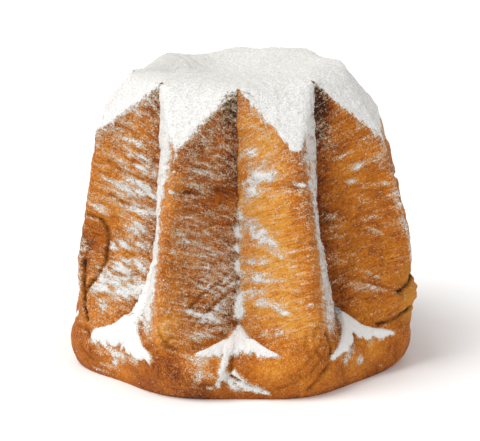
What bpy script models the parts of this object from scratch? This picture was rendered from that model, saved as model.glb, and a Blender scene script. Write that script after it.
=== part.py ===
"""A pandoro: the tall, star-shaped Christmas bread, dusted with icing sugar, as one solid.

Run with blender --background --python part.py, or from Blender's text editor.

Units are metres and +Z is up. The origin is the middle of the flat base, on the table.
A turn is an angle round the bread, in radians: 0 is the front (-Y) and it grows towards +X.

The bread is baked upside down in a fluted mould, so it has, from the table up:
- a foot and a swollen collar, the dough that rose out of the mould's mouth,
- a ledge in each valley, where the collar steps back to the fluted wall,
- eight ridges and eight valleys, which lean inwards,
- eight three-sided facets that cut the ridges' tips back to an octagonal crown.
"""

import math

import bmesh
import bpy
from mathutils import Matrix, Vector, noise

MM = 0.001

# The star
ARMS = 8
ARM_TURN = math.tau / ARMS
HEIGHT = 184 * MM
CROWN_VALLEY_RADIUS = 65 * MM
CROWN_APOTHEM = CROWN_VALLEY_RADIUS * math.cos(ARM_TURN / 2)

# Each list starts at the front and goes round towards +X.
# A ridge stands half an arm further round than the valley with the same index.
RIDGE_FOOT_RADII = [114, 113, 112, 112, 113, 113, 112.5, 114]
RIDGE_BELLIES = [2.5, 10.0, 9.0, 5.0, 3.0, 2.0, 1.0, 2.5]
RIDGE_TIP_RADII = [95, 96, 98, 95, 96, 95, 96, 97]
RIDGE_TIP_HEIGHTS = [149, 148, 150, 150, 149, 152, 151, 151]
VALLEY_FOOT_RADII = [83, 84, 84, 86, 83, 85, 84, 85]
VALLEY_WAIST_RADII = [67, 67, 67, 69, 67, 68, 67, 68]
LEDGE_HEIGHTS = [33, 40, 42, 36, 34, 38, 39, 40]
CROWN_RIM_LIFTS = [0.0, 1.0, 3.5, 2.8, 0.0, 0.0, 0.5, 0.0]
VALLEY_WAIST_HEIGHT = 110 * MM
VALLEY_FLARE = 1.7
VALLEY_ROUNDING = 5 * MM

# A ridge is an edge at its tip, and widens to a rounded face and strays sideways at its foot
RIDGE_STRAYS = [2.8, -0.8, 1.2, -1.5, 1.0, -0.6, 0.6, -2.8]
TIP_FACE_HALF_TURN = math.radians(0.6)
FOOT_FACE_HALF_TURN = math.radians(2.6)
FACE_TAPER_POWER = 2.5
TIP_SHOULDER_ROUNDING = 6 * MM
FOOT_SHOULDER_ROUNDING = 12 * MM
FLANK_BULGE = 3.5 * MM

# The whole bread leans a little
TOP_SHIFT = Vector((-1.5 * MM, 0.0, 0.0))

# The collar and the foot
COLLAR_RIDGE_RADII = [115, 115, 114, 114, 115, 114, 115, 115]
COLLAR_VALLEY_RADII = [107, 107, 106, 108, 107, 107, 106, 107]
CONTACT_RIDGE_RADII = [106.5, 105, 105, 105, 106, 105, 108, 106]
CONTACT_VALLEY_RADII = [102, 102, 103, 102, 103, 102, 103, 102]
COLLAR_WIDEST_HEIGHT = 13 * MM
FOOT_HEIGHT = 27 * MM
FOOT_ARC_HEIGHT = 29 * MM
LEDGE_STEP = 34 * MM
LEDGE_ROUNDING = 5 * MM

# The edges of the facets, and the crown
TIP_EDGE_FILLET = 3.0 * MM
RIM_EDGE_FILLET = 4.5 * MM
SHORTEST_FACET = 3.5 * MM
CROWN_DISH = 3.0 * MM
CROWN_HOLLOW_DEPTH = 3.5 * MM
CROWN_HOLLOW_PLACE = Vector((-34 * MM, 4 * MM))
CROWN_HOLLOW_WIDTH = 17 * MM

# The crust's unevenness
SWELL_SIZE = 45 * MM
SWELL_DEPTH = 1.6 * MM
WRINKLE_LENGTH = 38 * MM
WRINKLE_SPACING = 13 * MM
WRINKLE_DEPTH = 0.9 * MM

# Single marks in the crust: (turn in degrees, height, swell, half width, half height), in mm.
# A negative swell is a dent.
MARKS = [
    (-64, 72, 1.6, 12, 25),
    (-52, 102, -1.2, 16, 8),
    (-15, 128, -1.6, 22, 6),
    (12, 126, -1.3, 20, 5),
    (-3, 17, -2.0, 5, 11),
    (-9, 15, 1.2, 9, 9),
    (-58, 18, 1.5, 16, 12),
    (36, 20, -1.2, 7, 14),
    (68, 50, 2.2, 9, 6),
    (69, 64, -2.8, 10, 9),
    (60, 110, -1.2, 18, 8),
    (92, 16, -1.8, 6, 11),
    (113, 76, 2.2, 14, 24),
    (138, 120, -1.4, 22, 6),
    (157, 42, -2.6, 10, 10),
    (172, 124, -1.4, 20, 6),
    (-178, 18, 1.5, 15, 11),
    (-157, 62, 2.2, 14, 25),
    (-136, 15, -1.8, 6, 11),
    (-112, 96, -1.6, 20, 7),
    (-101, 46, 1.6, 14, 12),
]

# The mesh: columns go round the bread and rows go from the table to the middle of the crown
COLUMNS = 144
UNDERSIDE_ROWS = 2
FOOT_ROWS = 5
COLLAR_ROWS = 2
LEDGE_ROWS = 5
WALL_ROWS = 14
FILLET_ROWS = 3
FACET_ROWS = 3
CROWN_ROWS = 6

CRUST_COLOUR = (0.47, 0.17, 0.035, 1.0)


def clear_scene():
    """Removes every object that the file opens with."""
    for thing in list(bpy.data.objects):
        bpy.data.objects.remove(thing)


def mix(start, end, share):
    """The value at a share of the way from start to end."""
    return start + (end - start) * share


def ease(share):
    """A smooth step from 0 to 1, level at both ends."""
    share = min(max(share, 0.0), 1.0)
    return share * share * (3 - 2 * share)


def smooth_min(first, second, width):
    """The lesser of two lengths, with the corner between them rounded over a width."""
    blend = max(width - abs(first - second), 0.0) / width
    return min(first, second) - blend * blend * width / 4


def smooth_max(first, second, width):
    """The greater of two lengths, with the corner between them rounded over a width."""
    return -smooth_min(-first, -second, width)


def around(values, turn, offset=0.0):
    """A value in millimetres listed for each arm, read smoothly at any turn, in metres."""
    place = turn / ARM_TURN - offset
    arm = math.floor(place)
    return mix(values[arm % ARMS], values[(arm + 1) % ARMS], ease(place - arm)) * MM


def rise(height):
    """How far up the fluted wall a height is, from 0 at the table to 1 at the ridges' tips."""
    return min(height / (min(RIDGE_TIP_HEIGHTS) * MM), 1.0)


def ridge_radius(arm, height):
    """The radius of a ridge's face: it leans in from the foot to the tip, with a belly between."""
    foot = RIDGE_FOOT_RADII[arm % ARMS] * MM
    tip = RIDGE_TIP_RADII[arm % ARMS] * MM
    share = height / (RIDGE_TIP_HEIGHTS[arm % ARMS] * MM)
    belly = RIDGE_BELLIES[arm % ARMS] * MM * math.sin(math.pi * min(max(share, 0.0), 1.0))
    return mix(foot, tip, share) + belly


def valley_radius(arm, height):
    """The radius of a valley: nearly upright above its waist, and flared below it."""
    foot = VALLEY_FOOT_RADII[arm % ARMS] * MM
    waist = VALLEY_WAIST_RADII[arm % ARMS] * MM
    ledge = LEDGE_HEIGHTS[arm % ARMS] * MM
    if height > VALLEY_WAIST_HEIGHT:
        share = (height - VALLEY_WAIST_HEIGHT) / (HEIGHT - VALLEY_WAIST_HEIGHT)
        return mix(waist, CROWN_VALLEY_RADIUS, share)
    drop = (VALLEY_WAIST_HEIGHT - height) / (VALLEY_WAIST_HEIGHT - ledge)
    return waist + (foot - waist) * drop**VALLEY_FLARE


def ridge_turn(ridge, height):
    """The turn of a ridge: evenly spaced at the tips, and a little astray towards the foot."""
    stray = math.radians(RIDGE_STRAYS[ridge % ARMS])
    return (ridge + 0.5) * ARM_TURN + stray * (1 - rise(height) ** FACE_TAPER_POWER)


def flank_radius(turn, valley, ridge, height):
    """The radius at a turn of the straight line from a valley to the near shoulder of a ridge's face."""
    inner = valley_radius(valley, height)
    outer = ridge_radius(ridge, height)
    valley_turn = valley * ARM_TURN
    side = 1 if ridge >= valley else -1
    half_face = mix(FOOT_FACE_HALF_TURN, TIP_FACE_HALF_TURN, rise(height) ** FACE_TAPER_POWER)
    shoulder_turn = ridge_turn(ridge, height) - side * half_face
    reach = inner * math.sin(turn - valley_turn) + outer * math.sin(shoulder_turn - turn)
    span = math.sin(shoulder_turn - valley_turn)
    if reach / span <= 0:
        return HEIGHT
    return min(inner * outer * span / reach, HEIGHT)


def star_radius(turn, height):
    """The radius of the fluted wall: flanks between the ridges' faces and the valleys."""
    arm = math.floor(turn / ARM_TURN)
    ridge = ridge_turn(arm, height)
    rounding = mix(FOOT_SHOULDER_ROUNDING, TIP_SHOULDER_ROUNDING, rise(height))
    before = flank_radius(turn, arm, arm, height)
    after = flank_radius(turn, arm + 1, arm, height)
    face = ridge_radius(arm, height) + rounding / 4
    outside = smooth_min(smooth_min(before, after, rounding), face, rounding)
    if turn < ridge:
        beyond_valley = flank_radius(turn, arm, arm - 1, height)
        from_valley = (turn - arm * ARM_TURN) / (ridge - arm * ARM_TURN)
    else:
        beyond_valley = flank_radius(turn, arm + 1, arm + 1, height)
        from_valley = ((arm + 1) * ARM_TURN - turn) / ((arm + 1) * ARM_TURN - ridge)
    bulge = FLANK_BULGE * (1 - rise(height)) * (4 * from_valley * (1 - from_valley)) ** 2
    return smooth_max(outside, beyond_valley, VALLEY_ROUNDING) + bulge


def ring_radius(valleys, ridges, turn):
    """The radius at a turn of a rounded ring, through a list of valley radii and one of ridge radii."""
    middle = (around(valleys, turn) + around(ridges, turn, 0.5)) / 2
    swing = (around(ridges, turn, 0.5) - around(valleys, turn)) / 2
    return middle - swing * math.cos(turn * ARMS)


def collar_radius(turn, height):
    """The radius of the swollen collar: a rounded shoulder up to the ledge, and nothing above it."""
    widest = ring_radius(COLLAR_VALLEY_RADII, COLLAR_RIDGE_RADII, turn)
    ledge = around(LEDGE_HEIGHTS, turn)
    above = (height - COLLAR_WIDEST_HEIGHT) / (ledge - COLLAR_WIDEST_HEIGHT)
    above = min(max(above, 0.0), 1.0)
    return widest - LEDGE_STEP * (1 - math.sqrt(1 - above * above)) - max(height - ledge, 0.0)


def side_radius(turn, height):
    """The radius of the whole side: wall and collar together, drawn in to the foot."""
    fluting = star_radius(turn, max(height, FOOT_HEIGHT))
    outside = smooth_max(fluting, collar_radius(turn, height), LEDGE_ROUNDING)
    below = max(FOOT_HEIGHT - height, 0.0) / FOOT_ARC_HEIGHT
    full = FOOT_HEIGHT / FOOT_ARC_HEIGHT
    drawn_in = (1 - math.sqrt(1 - below * below)) / (1 - math.sqrt(1 - full * full))
    return mix(outside, ring_radius(CONTACT_VALLEY_RADII, CONTACT_RIDGE_RADII, turn), drawn_in)


def facet_radius(turn, height):
    """The radius at which the facet that cuts a ridge's tip stands at a height."""
    ridge = math.floor(turn / ARM_TURN)
    tip_radius = RIDGE_TIP_RADII[ridge % ARMS] * MM
    tip_height = RIDGE_TIP_HEIGHTS[ridge % ARMS] * MM
    run = (tip_radius - CROWN_APOTHEM) * (HEIGHT - height) / (HEIGHT - tip_height)
    return (CROWN_APOTHEM + run) / math.cos(turn - (ridge + 0.5) * ARM_TURN)


def break_height(turn):
    """The height at which the wall at a turn meets its facet, found by halving."""
    low, high = HEIGHT / 2, HEIGHT
    for _ in range(30):
        middle = (low + high) / 2
        if star_radius(turn, middle) < facet_radius(turn, middle):
            low = middle
        else:
            high = middle
    return min(low, HEIGHT - SHORTEST_FACET)


def crown_height(across, along):
    """The height of the crown: a shallow dish with a hollow to one side."""
    out = min(math.hypot(across, along) / CROWN_APOTHEM, 1.0)
    aside = (Vector((across, along)) - CROWN_HOLLOW_PLACE).length / CROWN_HOLLOW_WIDTH
    return HEIGHT - CROWN_DISH * (1 - ease(out)) - CROWN_HOLLOW_DEPTH * math.exp(-aside * aside)


def rounded_corner(before, corner, after, fillet):
    """Points on a fillet at a corner of the profile, from the side of before to that of after."""
    back = min(fillet, 0.45 * (before - corner).length)
    on = min(fillet, 0.45 * (after - corner).length)
    start = corner + (before - corner).normalized() * back
    end = corner + (after - corner).normalized() * on
    shares = [row / (FILLET_ROWS - 1) for row in range(FILLET_ROWS)]
    return [mix(mix(start, corner, share), mix(corner, end, share), share) for share in shares]


def heights_between(low, high, rows):
    """Row heights from low up to, and not at, high."""
    return [mix(low, high, row / rows) for row in range(rows)]


def profile(turn):
    """The outline at one turn, as (radius, height) points from the table to the middle of the crown."""
    ledge = around(LEDGE_HEIGHTS, turn)
    top = break_height(turn)
    heights = [FOOT_HEIGHT * 0.6 * (row / FOOT_ROWS) ** 2 for row in range(FOOT_ROWS)]
    heights += heights_between(FOOT_HEIGHT * 0.6, ledge - 6 * MM, COLLAR_ROWS)
    heights += heights_between(ledge - 6 * MM, ledge + 3 * MM, LEDGE_ROWS)
    heights += heights_between(ledge + 3 * MM, top - TIP_EDGE_FILLET, WALL_ROWS)
    side = [Vector((side_radius(turn, height), height)) for height in heights]
    foot = side[0]
    underside = [foot * ((row + 1) / (UNDERSIDE_ROWS + 1)) for row in range(UNDERSIDE_ROWS)]
    tip = Vector((star_radius(turn, top), top))
    crown_top = HEIGHT + around(CROWN_RIM_LIFTS, turn)
    rim = Vector((min(facet_radius(turn, HEIGHT), tip.x - 1 * MM), crown_top))
    middle = Vector((0.0, HEIGHT))
    tip_fillet = rounded_corner(side[-1], tip, rim, TIP_EDGE_FILLET)
    rim_fillet = rounded_corner(tip, rim, middle, RIM_EDGE_FILLET)
    facet = [mix(tip_fillet[-1], rim_fillet[0], (row + 1) / (FACET_ROWS + 1)) for row in range(FACET_ROWS)]
    crown = [mix(rim_fillet[-1], middle, (row + 1) / (CROWN_ROWS + 1)) for row in range(CROWN_ROWS)]
    return underside + side + tip_fillet + facet + rim_fillet + crown


def marks_at(turn, radius, height):
    """How far the single marks swell or sink the crust at a place."""
    total = 0.0
    for mark_turn, mark_height, swell, half_width, half_height in MARKS:
        aside = math.remainder(turn - math.radians(mark_turn), math.tau) * radius / (half_width * MM)
        above = (height / MM - mark_height) / half_height
        total += swell * MM * math.exp(-aside * aside - above * above)
    return total


def relief(place, outward):
    """How far the crust swells or sinks at a place: slow swells, wrinkles that run round it, and marks."""
    swell = noise.noise(place / SWELL_SIZE) * SWELL_DEPTH
    turn = math.atan2(place.x, -place.y)
    radius = math.hypot(place.x, place.y)
    tilt = 0.25 * math.sin(3 * turn)
    around_bread = radius * turn / WRINKLE_LENGTH
    wrinkle = noise.noise(Vector((around_bread, place.z / WRINKLE_SPACING + tilt * around_bread, 7.0)))
    upright = 1 - abs(outward.z)
    return swell + wrinkle * WRINKLE_DEPTH * upright + marks_at(turn, radius, place.z) * upright


def shape_bread(mesh):
    """Moves the vertices of a unit sphere, column by column, onto the bread's surface."""
    rows = UNDERSIDE_ROWS + FOOT_ROWS + COLLAR_ROWS + LEDGE_ROWS + WALL_ROWS
    rows += 2 * FILLET_ROWS + FACET_ROWS + CROWN_ROWS
    bmesh.ops.create_uvsphere(mesh, u_segments=COLUMNS, v_segments=rows + 1, radius=1.0)
    outlines = [profile(column * math.tau / COLUMNS) for column in range(COLUMNS)]
    for vertex in mesh.verts:
        row = round((math.asin(max(-1.0, min(1.0, vertex.co.z))) / math.pi + 0.5) * (rows + 1))
        if row in (0, rows + 1):
            vertex.co = Vector((0.0, 0.0, 0.0 if row == 0 else HEIGHT))
            continue
        turn = math.atan2(vertex.co.x, -vertex.co.y) % math.tau
        point = outlines[round(turn / math.tau * COLUMNS) % COLUMNS][row - 1]
        vertex.co = Vector((point.x * math.sin(turn), -point.x * math.cos(turn), point.y))


def roughen(mesh):
    """Adds the crown's dish, the crust's relief and the bread's slight lean, and keeps the base flat."""
    mesh.normal_update()
    moved = []
    for vertex in mesh.verts:
        place = vertex.co.copy()
        if place.z > 0:
            lift = ease(place.z / COLLAR_WIDEST_HEIGHT)
            place += vertex.normal * relief(place, vertex.normal) * lift
            dish = crown_height(vertex.co.x, vertex.co.y) - HEIGHT
            place.z += dish * ease((vertex.co.z / HEIGHT - 0.9) * 10)
            place += TOP_SHIFT * (place.z / HEIGHT)
        moved.append(place)
    for vertex, place in zip(mesh.verts, moved, strict=True):
        vertex.co = place


def crust_material():
    """The golden-brown crust."""
    material = bpy.data.materials.new("golden_crust")
    material.use_nodes = True
    shader = material.node_tree.nodes["Principled BSDF"]
    shader.inputs["Base Color"].default_value = CRUST_COLOUR
    shader.inputs["Roughness"].default_value = 0.7
    shader.inputs["Metallic"].default_value = 0.0
    return material


def build_pandoro(collection):
    """The bread as one object, named for what it is."""
    mesh = bmesh.new()
    shape_bread(mesh)
    roughen(mesh)
    data = bpy.data.meshes.new("pandoro")
    mesh.to_mesh(data)
    mesh.free()
    data.shade_smooth()
    data.set_sharp_from_angle(angle=math.radians(35))
    bread = bpy.data.objects.new("pandoro", data)
    bread.matrix_world = Matrix.Identity(4)
    bread.data.materials.append(crust_material())
    collection.objects.link(bread)
    return bread


def main():
    """Builds the pandoro in its own collection."""
    clear_scene()
    collection = bpy.data.collections.new("Pandoro")
    bpy.context.scene.collection.children.link(collection)
    build_pandoro(collection)


main()
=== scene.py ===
"""A pandoro dusted with icing sugar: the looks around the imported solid.

The bread is baked upside down in a fluted mould, and then stands on what was the mould's mouth. From
the table up it has a rounded foot and a swollen collar, a ledge in each valley, eight ridges and eight
valleys that lean inwards, and eight three-sided facets round an octagonal crown. The sugar falls
straight down on it: it lies thick on the crown, the facets and the ledges, and catches on the upper
side of every wrinkle of the walls.

Units are metres and +Z is up. A turn is an angle round the bread, in radians: 0 is the front (-Y),
and it grows towards +X. Arm 0's valley is at turn 0, and its ridge is half an arm further on.
"""

import logging
import math
import random
from dataclasses import dataclass, field
from enum import IntEnum

import bmesh
import bpy
import numpy as np
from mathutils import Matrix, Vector, noise


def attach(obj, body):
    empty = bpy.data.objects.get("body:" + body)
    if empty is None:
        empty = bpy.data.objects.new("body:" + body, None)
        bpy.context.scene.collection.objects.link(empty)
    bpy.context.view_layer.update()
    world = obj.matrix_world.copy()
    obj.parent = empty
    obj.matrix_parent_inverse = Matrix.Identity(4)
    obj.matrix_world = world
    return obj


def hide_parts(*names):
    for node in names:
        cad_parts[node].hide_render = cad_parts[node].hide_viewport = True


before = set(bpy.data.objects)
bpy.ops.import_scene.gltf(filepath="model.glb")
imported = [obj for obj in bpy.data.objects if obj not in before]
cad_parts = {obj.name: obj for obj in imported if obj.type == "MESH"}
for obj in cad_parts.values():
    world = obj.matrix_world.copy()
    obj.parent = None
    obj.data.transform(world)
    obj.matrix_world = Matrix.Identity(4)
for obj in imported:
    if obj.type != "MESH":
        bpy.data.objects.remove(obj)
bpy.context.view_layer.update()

MM = 0.001
ARMS = 8
ARM_TURN = math.tau / ARMS

# A single number, or one for each spot on the bread
Values = float | np.ndarray
# Noises that are added up, each as its size in metres, its seed and its strength
Waves = tuple[tuple[float, float, float], ...]
Socket = bpy.types.NodeSocket

log = logging.getLogger("pandoro")


# ---------------------------------------------------------------------------------------------------
# Small helpers, which take single numbers and arrays alike
# ---------------------------------------------------------------------------------------------------


def linear(colour: str) -> tuple[float, float, float, float]:
    """Turns an sRGB colour such as "#C47830" into the linear colour that a shader takes.

    Args:
        colour: a hash sign and six hexadecimal digits.

    Returns:
        Red, green, blue and an alpha of 1.
    """
    channels = [int(colour[place:place + 2], 16) / 255 for place in (1, 3, 5)]
    light = [c / 12.92 if c <= 0.04045 else ((c + 0.055) / 1.055) ** 2.4 for c in channels]
    return (light[0], light[1], light[2], 1.0)


def mix(start: Values, end: Values, share: Values) -> Values:
    """The value at a share of the way from start to end."""
    return start + (end - start) * share


def ease(share: Values) -> Values:
    """A smooth step from 0 to 1, level at both ends."""
    share = np.clip(share, 0.0, 1.0)
    return share * share * (3 - 2 * share)


def step(low: float, high: float, value: Values) -> Values:
    """A smooth step that rises from 0 at low to 1 at high. With low above high it falls."""
    return ease((value - low) / (high - low))


def hill(distance: Values, size: float) -> Values:
    """A bell that is 1 at distance 0 and dies away over a size."""
    return np.exp(-(distance / size) ** 2)


def smooth_min(first: Values, second: Values, width: Values) -> Values:
    """The lesser of two lengths, with the corner between them rounded over a width."""
    blend = np.maximum(width - np.abs(first - second), 0.0) / width
    return np.minimum(first, second) - blend * blend * width / 4


def smooth_max(first: Values, second: Values, width: Values) -> Values:
    """The greater of two lengths, with the corner between them rounded over a width."""
    return -smooth_min(-first, -second, width)


def listed(values: tuple[float, ...], number: Values) -> Values:
    """Reads a list with one entry for each arm, or for each flank, at the number of an arm or flank."""
    return np.asarray(values, dtype=float)[np.asarray(number).astype(int) % len(values)]


def around(values: tuple[float, ...], turn: Values, offset: float = 0.0) -> Values:
    """Reads a list in millimetres, with one entry for each arm, at any turn.

    Args:
        values: one value for each arm, in millimetres.
        turn: the angle round the bread.
        offset: 0 where the values belong to the valleys, and 0.5 where they belong to the ridges.

    Returns:
        The value in metres, blended between the two nearest arms.
    """
    place = turn / ARM_TURN - offset
    arm = np.floor(place)
    return mix(listed(values, arm), listed(values, arm + 1), ease(place - arm)) * MM


def aside(turn: Values, degrees: float, radius: Values) -> Values:
    """How far a turn is from a given turn in degrees, in millimetres along the crust."""
    apart = (turn - math.radians(degrees) + math.pi) % math.tau - math.pi
    return apart * radius / MM


def noise_at(points: np.ndarray) -> np.ndarray:
    """Smooth noise, from about -1 to 1, at each row of an array of points."""
    return np.array([noise.noise(point) for point in points.tolist()])


def ripple(places: np.ndarray, size: float, seed: float) -> np.ndarray:
    """Smooth noise at each place, with swells of a given size in metres."""
    return noise_at(places / size + np.array((seed, seed * 1.7, -seed)))


def ripples(places: np.ndarray, waves: Waves) -> np.ndarray:
    """Adds up noises at each place."""
    return sum(strength * ripple(places, size, seed) for size, seed, strength in waves)


# ---------------------------------------------------------------------------------------------------
# The bread's form
# ---------------------------------------------------------------------------------------------------


@dataclass(frozen=True)
class Star:
    """The fluted form of the bread. Lists are in millimetres, with one entry for each arm.

    The sizes are its solid's, but the valleys are sharper, the ridges' shoulders are rounder towards
    the tips, and the crown's rim is lower on the left.
    """

    height: float = 184 * MM
    crown_valley_radius: float = 65 * MM
    ridge_foot_radii: tuple[float, ...] = (114, 113, 112, 112, 113, 113, 112.5, 114)
    ridge_bellies: tuple[float, ...] = (2.5, 10.0, 9.0, 5.0, 3.0, 2.0, 1.0, 2.5)
    ridge_tip_radii: tuple[float, ...] = (95, 96, 98, 95, 96, 95, 96, 97)
    ridge_tip_heights: tuple[float, ...] = (149, 148, 150, 150, 149, 152, 151, 151)
    valley_foot_radii: tuple[float, ...] = (83, 84, 84, 86, 83, 85, 84, 85)
    valley_waist_radii: tuple[float, ...] = (67, 67, 67, 69, 67, 68, 67, 68)
    ledge_heights: tuple[float, ...] = (33, 40, 42, 36, 34, 38, 39, 40)
    crown_rim_lifts: tuple[float, ...] = (0.0, 1.0, 3.5, 2.8, 0.0, -0.5, -3.0, 0.0)
    ridge_strays: tuple[float, ...] = (2.8, -0.8, 1.2, -1.5, 1.0, -0.6, 0.6, -2.8)
    collar_ridge_radii: tuple[float, ...] = (115, 115, 114, 114, 115, 114, 115, 115)
    collar_valley_radii: tuple[float, ...] = (107, 107, 106, 108, 107, 107, 106, 107)
    contact_ridge_radii: tuple[float, ...] = (106.5, 105, 105, 105, 106, 105, 108, 106)
    contact_valley_radii: tuple[float, ...] = (102, 102, 103, 102, 103, 102, 103, 102)
    valley_waist_height: float = 110 * MM
    valley_flare: float = 1.7
    valley_rounding: float = 2.2 * MM
    tip_face_half_turn: float = math.radians(0.6)
    foot_face_half_turn: float = math.radians(2.6)
    face_taper_power: float = 2.5
    tip_shoulder_rounding: float = 9 * MM
    foot_shoulder_rounding: float = 12 * MM
    flank_bulge: float = 3.5 * MM
    collar_widest_height: float = 13 * MM
    foot_height: float = 27 * MM
    foot_arc_height: float = 29 * MM
    ledge_step: float = 34 * MM
    ledge_rounding: float = 5 * MM
    shortest_facet: float = 3.5 * MM
    halvings: int = 30

    @property
    def crown_apothem(self) -> float:
        """The distance from the crown's middle to the middle of one of its eight edges."""
        return self.crown_valley_radius * math.cos(ARM_TURN / 2)

    def rise(self, height: Values) -> Values:
        """How far up the fluted wall a height is, from 0 at the table to 1 at the ridges' tips."""
        return np.minimum(height / (min(self.ridge_tip_heights) * MM), 1.0)

    def ridge_radius(self, arm: Values, height: Values) -> Values:
        """The radius of a ridge's face: it leans in towards its tip, with a belly between.

        Args:
            arm: the number of the ridge's arm.
            height: the height to measure at.

        Returns:
            The distance from the bread's axis.
        """
        share = height / (listed(self.ridge_tip_heights, arm) * MM)
        belly = listed(self.ridge_bellies, arm) * np.sin(math.pi * np.clip(share, 0.0, 1.0))
        straight = mix(listed(self.ridge_foot_radii, arm), listed(self.ridge_tip_radii, arm), share)
        return (straight + belly) * MM

    def valley_radius(self, arm: Values, height: Values) -> Values:
        """The radius of a valley: nearly upright above its waist, and flared below it.

        Args:
            arm: the number of the valley's arm.
            height: the height to measure at.

        Returns:
            The distance from the bread's axis.
        """
        foot = listed(self.valley_foot_radii, arm) * MM
        waist = listed(self.valley_waist_radii, arm) * MM
        above = (height - self.valley_waist_height) / (self.height - self.valley_waist_height)
        fall = self.valley_waist_height - listed(self.ledge_heights, arm) * MM
        below = np.maximum(self.valley_waist_height - height, 0.0) / fall
        flared = waist + (foot - waist) * below ** self.valley_flare
        return np.where(above > 0, mix(waist, self.crown_valley_radius, above), flared)

    def ridge_turn(self, ridge: Values, height: Values) -> Values:
        """The turn of a ridge: evenly spaced at the tips, and a little astray towards the foot."""
        stray = np.radians(listed(self.ridge_strays, ridge))
        return (ridge + 0.5) * ARM_TURN + stray * (1 - self.rise(height) ** self.face_taper_power)

    def flank_radius(self, turn: Values, valley: Values, ridge: Values, height: Values) -> Values:
        """The radius of the straight flank from a valley to the near shoulder of a ridge's face.

        Args:
            turn: the turn to measure at.
            valley: the number of the valley's arm.
            ridge: the number of the ridge's arm.
            height: the height to measure at.

        Returns:
            The distance from the bread's axis, at most the bread's height.
        """
        inner = self.valley_radius(valley, height)
        outer = self.ridge_radius(ridge, height)
        taper = self.rise(height) ** self.face_taper_power
        half_face = mix(self.foot_face_half_turn, self.tip_face_half_turn, taper)
        shoulder = self.ridge_turn(ridge, height) - np.where(ridge >= valley, 1, -1) * half_face
        reach = inner * np.sin(turn - valley * ARM_TURN) + outer * np.sin(shoulder - turn)
        share = reach / np.sin(shoulder - valley * ARM_TURN)
        return np.minimum(inner * outer / np.maximum(share, inner * outer / self.height), self.height)

    def from_valley(self, turn: Values, height: Values) -> Values:
        """How far a turn is from the nearest valley.

        Args:
            turn: the turn to measure at.
            height: the height to measure at.

        Returns:
            A share from 0 in the valley to 1 on the ridge.
        """
        arm = np.floor(turn / ARM_TURN)
        ridge = self.ridge_turn(arm, height)
        before = (turn - arm * ARM_TURN) / (ridge - arm * ARM_TURN)
        after = ((arm + 1) * ARM_TURN - turn) / ((arm + 1) * ARM_TURN - ridge)
        return np.where(turn < ridge, before, after)

    def star_radius(self, turn: Values, height: Values) -> Values:
        """The radius of the fluted wall: flanks between the ridges' faces and the valleys.

        Args:
            turn: the turn to measure at.
            height: the height to measure at.

        Returns:
            The distance from the bread's axis.
        """
        arm = np.floor(turn / ARM_TURN)
        rounding = mix(self.foot_shoulder_rounding, self.tip_shoulder_rounding, self.rise(height))
        before = self.flank_radius(turn, arm, arm, height)
        after = self.flank_radius(turn, arm + 1, arm, height)
        face = self.ridge_radius(arm, height) + rounding / 4
        outside = smooth_min(smooth_min(before, after, rounding), face, rounding)
        rising = turn < self.ridge_turn(arm, height)
        next_arm = np.where(rising, arm - 1, arm + 1)
        beyond = self.flank_radius(turn, np.where(rising, arm, arm + 1), next_arm, height)
        share = self.from_valley(turn, height)
        bulge = self.flank_bulge * (1 - self.rise(height)) * (4 * share * (1 - share)) ** 2
        return smooth_max(outside, beyond, self.valley_rounding) + bulge

    @staticmethod
    def ring_radius(valleys: tuple[float, ...], ridges: tuple[float, ...], turn: Values) -> Values:
        """The radius of a rounded ring round the bread.

        Args:
            valleys: the radii that it has in the valleys, in millimetres.
            ridges: the radii that it has on the ridges, in millimetres.
            turn: the turn to measure at.

        Returns:
            The distance from the bread's axis, in metres.
        """
        at_ridges = around(ridges, turn, 0.5)
        at_valleys = around(valleys, turn)
        return (at_valleys + at_ridges) / 2 - (at_ridges - at_valleys) / 2 * np.cos(turn * ARMS)

    def collar_radius(self, turn: Values, height: Values) -> Values:
        """The radius of the swollen collar: a rounded shoulder up to the ledge.

        Args:
            turn: the turn to measure at.
            height: the height to measure at.

        Returns:
            The distance from the bread's axis. Above the ledge it falls away inside the wall.
        """
        widest = self.ring_radius(self.collar_valley_radii, self.collar_ridge_radii, turn)
        ledge = around(self.ledge_heights, turn)
        above = (height - self.collar_widest_height) / (ledge - self.collar_widest_height)
        above = np.clip(above, 0.0, 1.0)
        fall = self.ledge_step * (1 - np.sqrt(1 - above * above)) + np.maximum(height - ledge, 0.0)
        return widest - fall

    def side_radius(self, turn: Values, height: Values) -> Values:
        """The radius of the whole side: wall and collar together, drawn in to the foot.

        Args:
            turn: the turn to measure at.
            height: the height to measure at.

        Returns:
            The distance from the bread's axis.
        """
        fluting = self.star_radius(turn, np.maximum(height, self.foot_height))
        outside = smooth_max(fluting, self.collar_radius(turn, height), self.ledge_rounding)
        below = np.maximum(self.foot_height - height, 0.0) / self.foot_arc_height
        full = self.foot_height / self.foot_arc_height
        drawn_in = (1 - np.sqrt(1 - below * below)) / (1 - math.sqrt(1 - full * full))
        contact = self.ring_radius(self.contact_valley_radii, self.contact_ridge_radii, turn)
        return mix(outside, contact, drawn_in)

    def facet_radius(self, turn: Values, height: Values) -> Values:
        """The radius at which the facet that cuts a ridge's tip stands.

        Args:
            turn: the turn to measure at.
            height: the height to measure at.

        Returns:
            The distance from the bread's axis.
        """
        ridge = np.floor(turn / ARM_TURN)
        tip_radius = listed(self.ridge_tip_radii, ridge) * MM
        tip_height = listed(self.ridge_tip_heights, ridge) * MM
        run = (tip_radius - self.crown_apothem) * (self.height - height) / (self.height - tip_height)
        return (self.crown_apothem + run) / np.cos(turn - (ridge + 0.5) * ARM_TURN)

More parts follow.
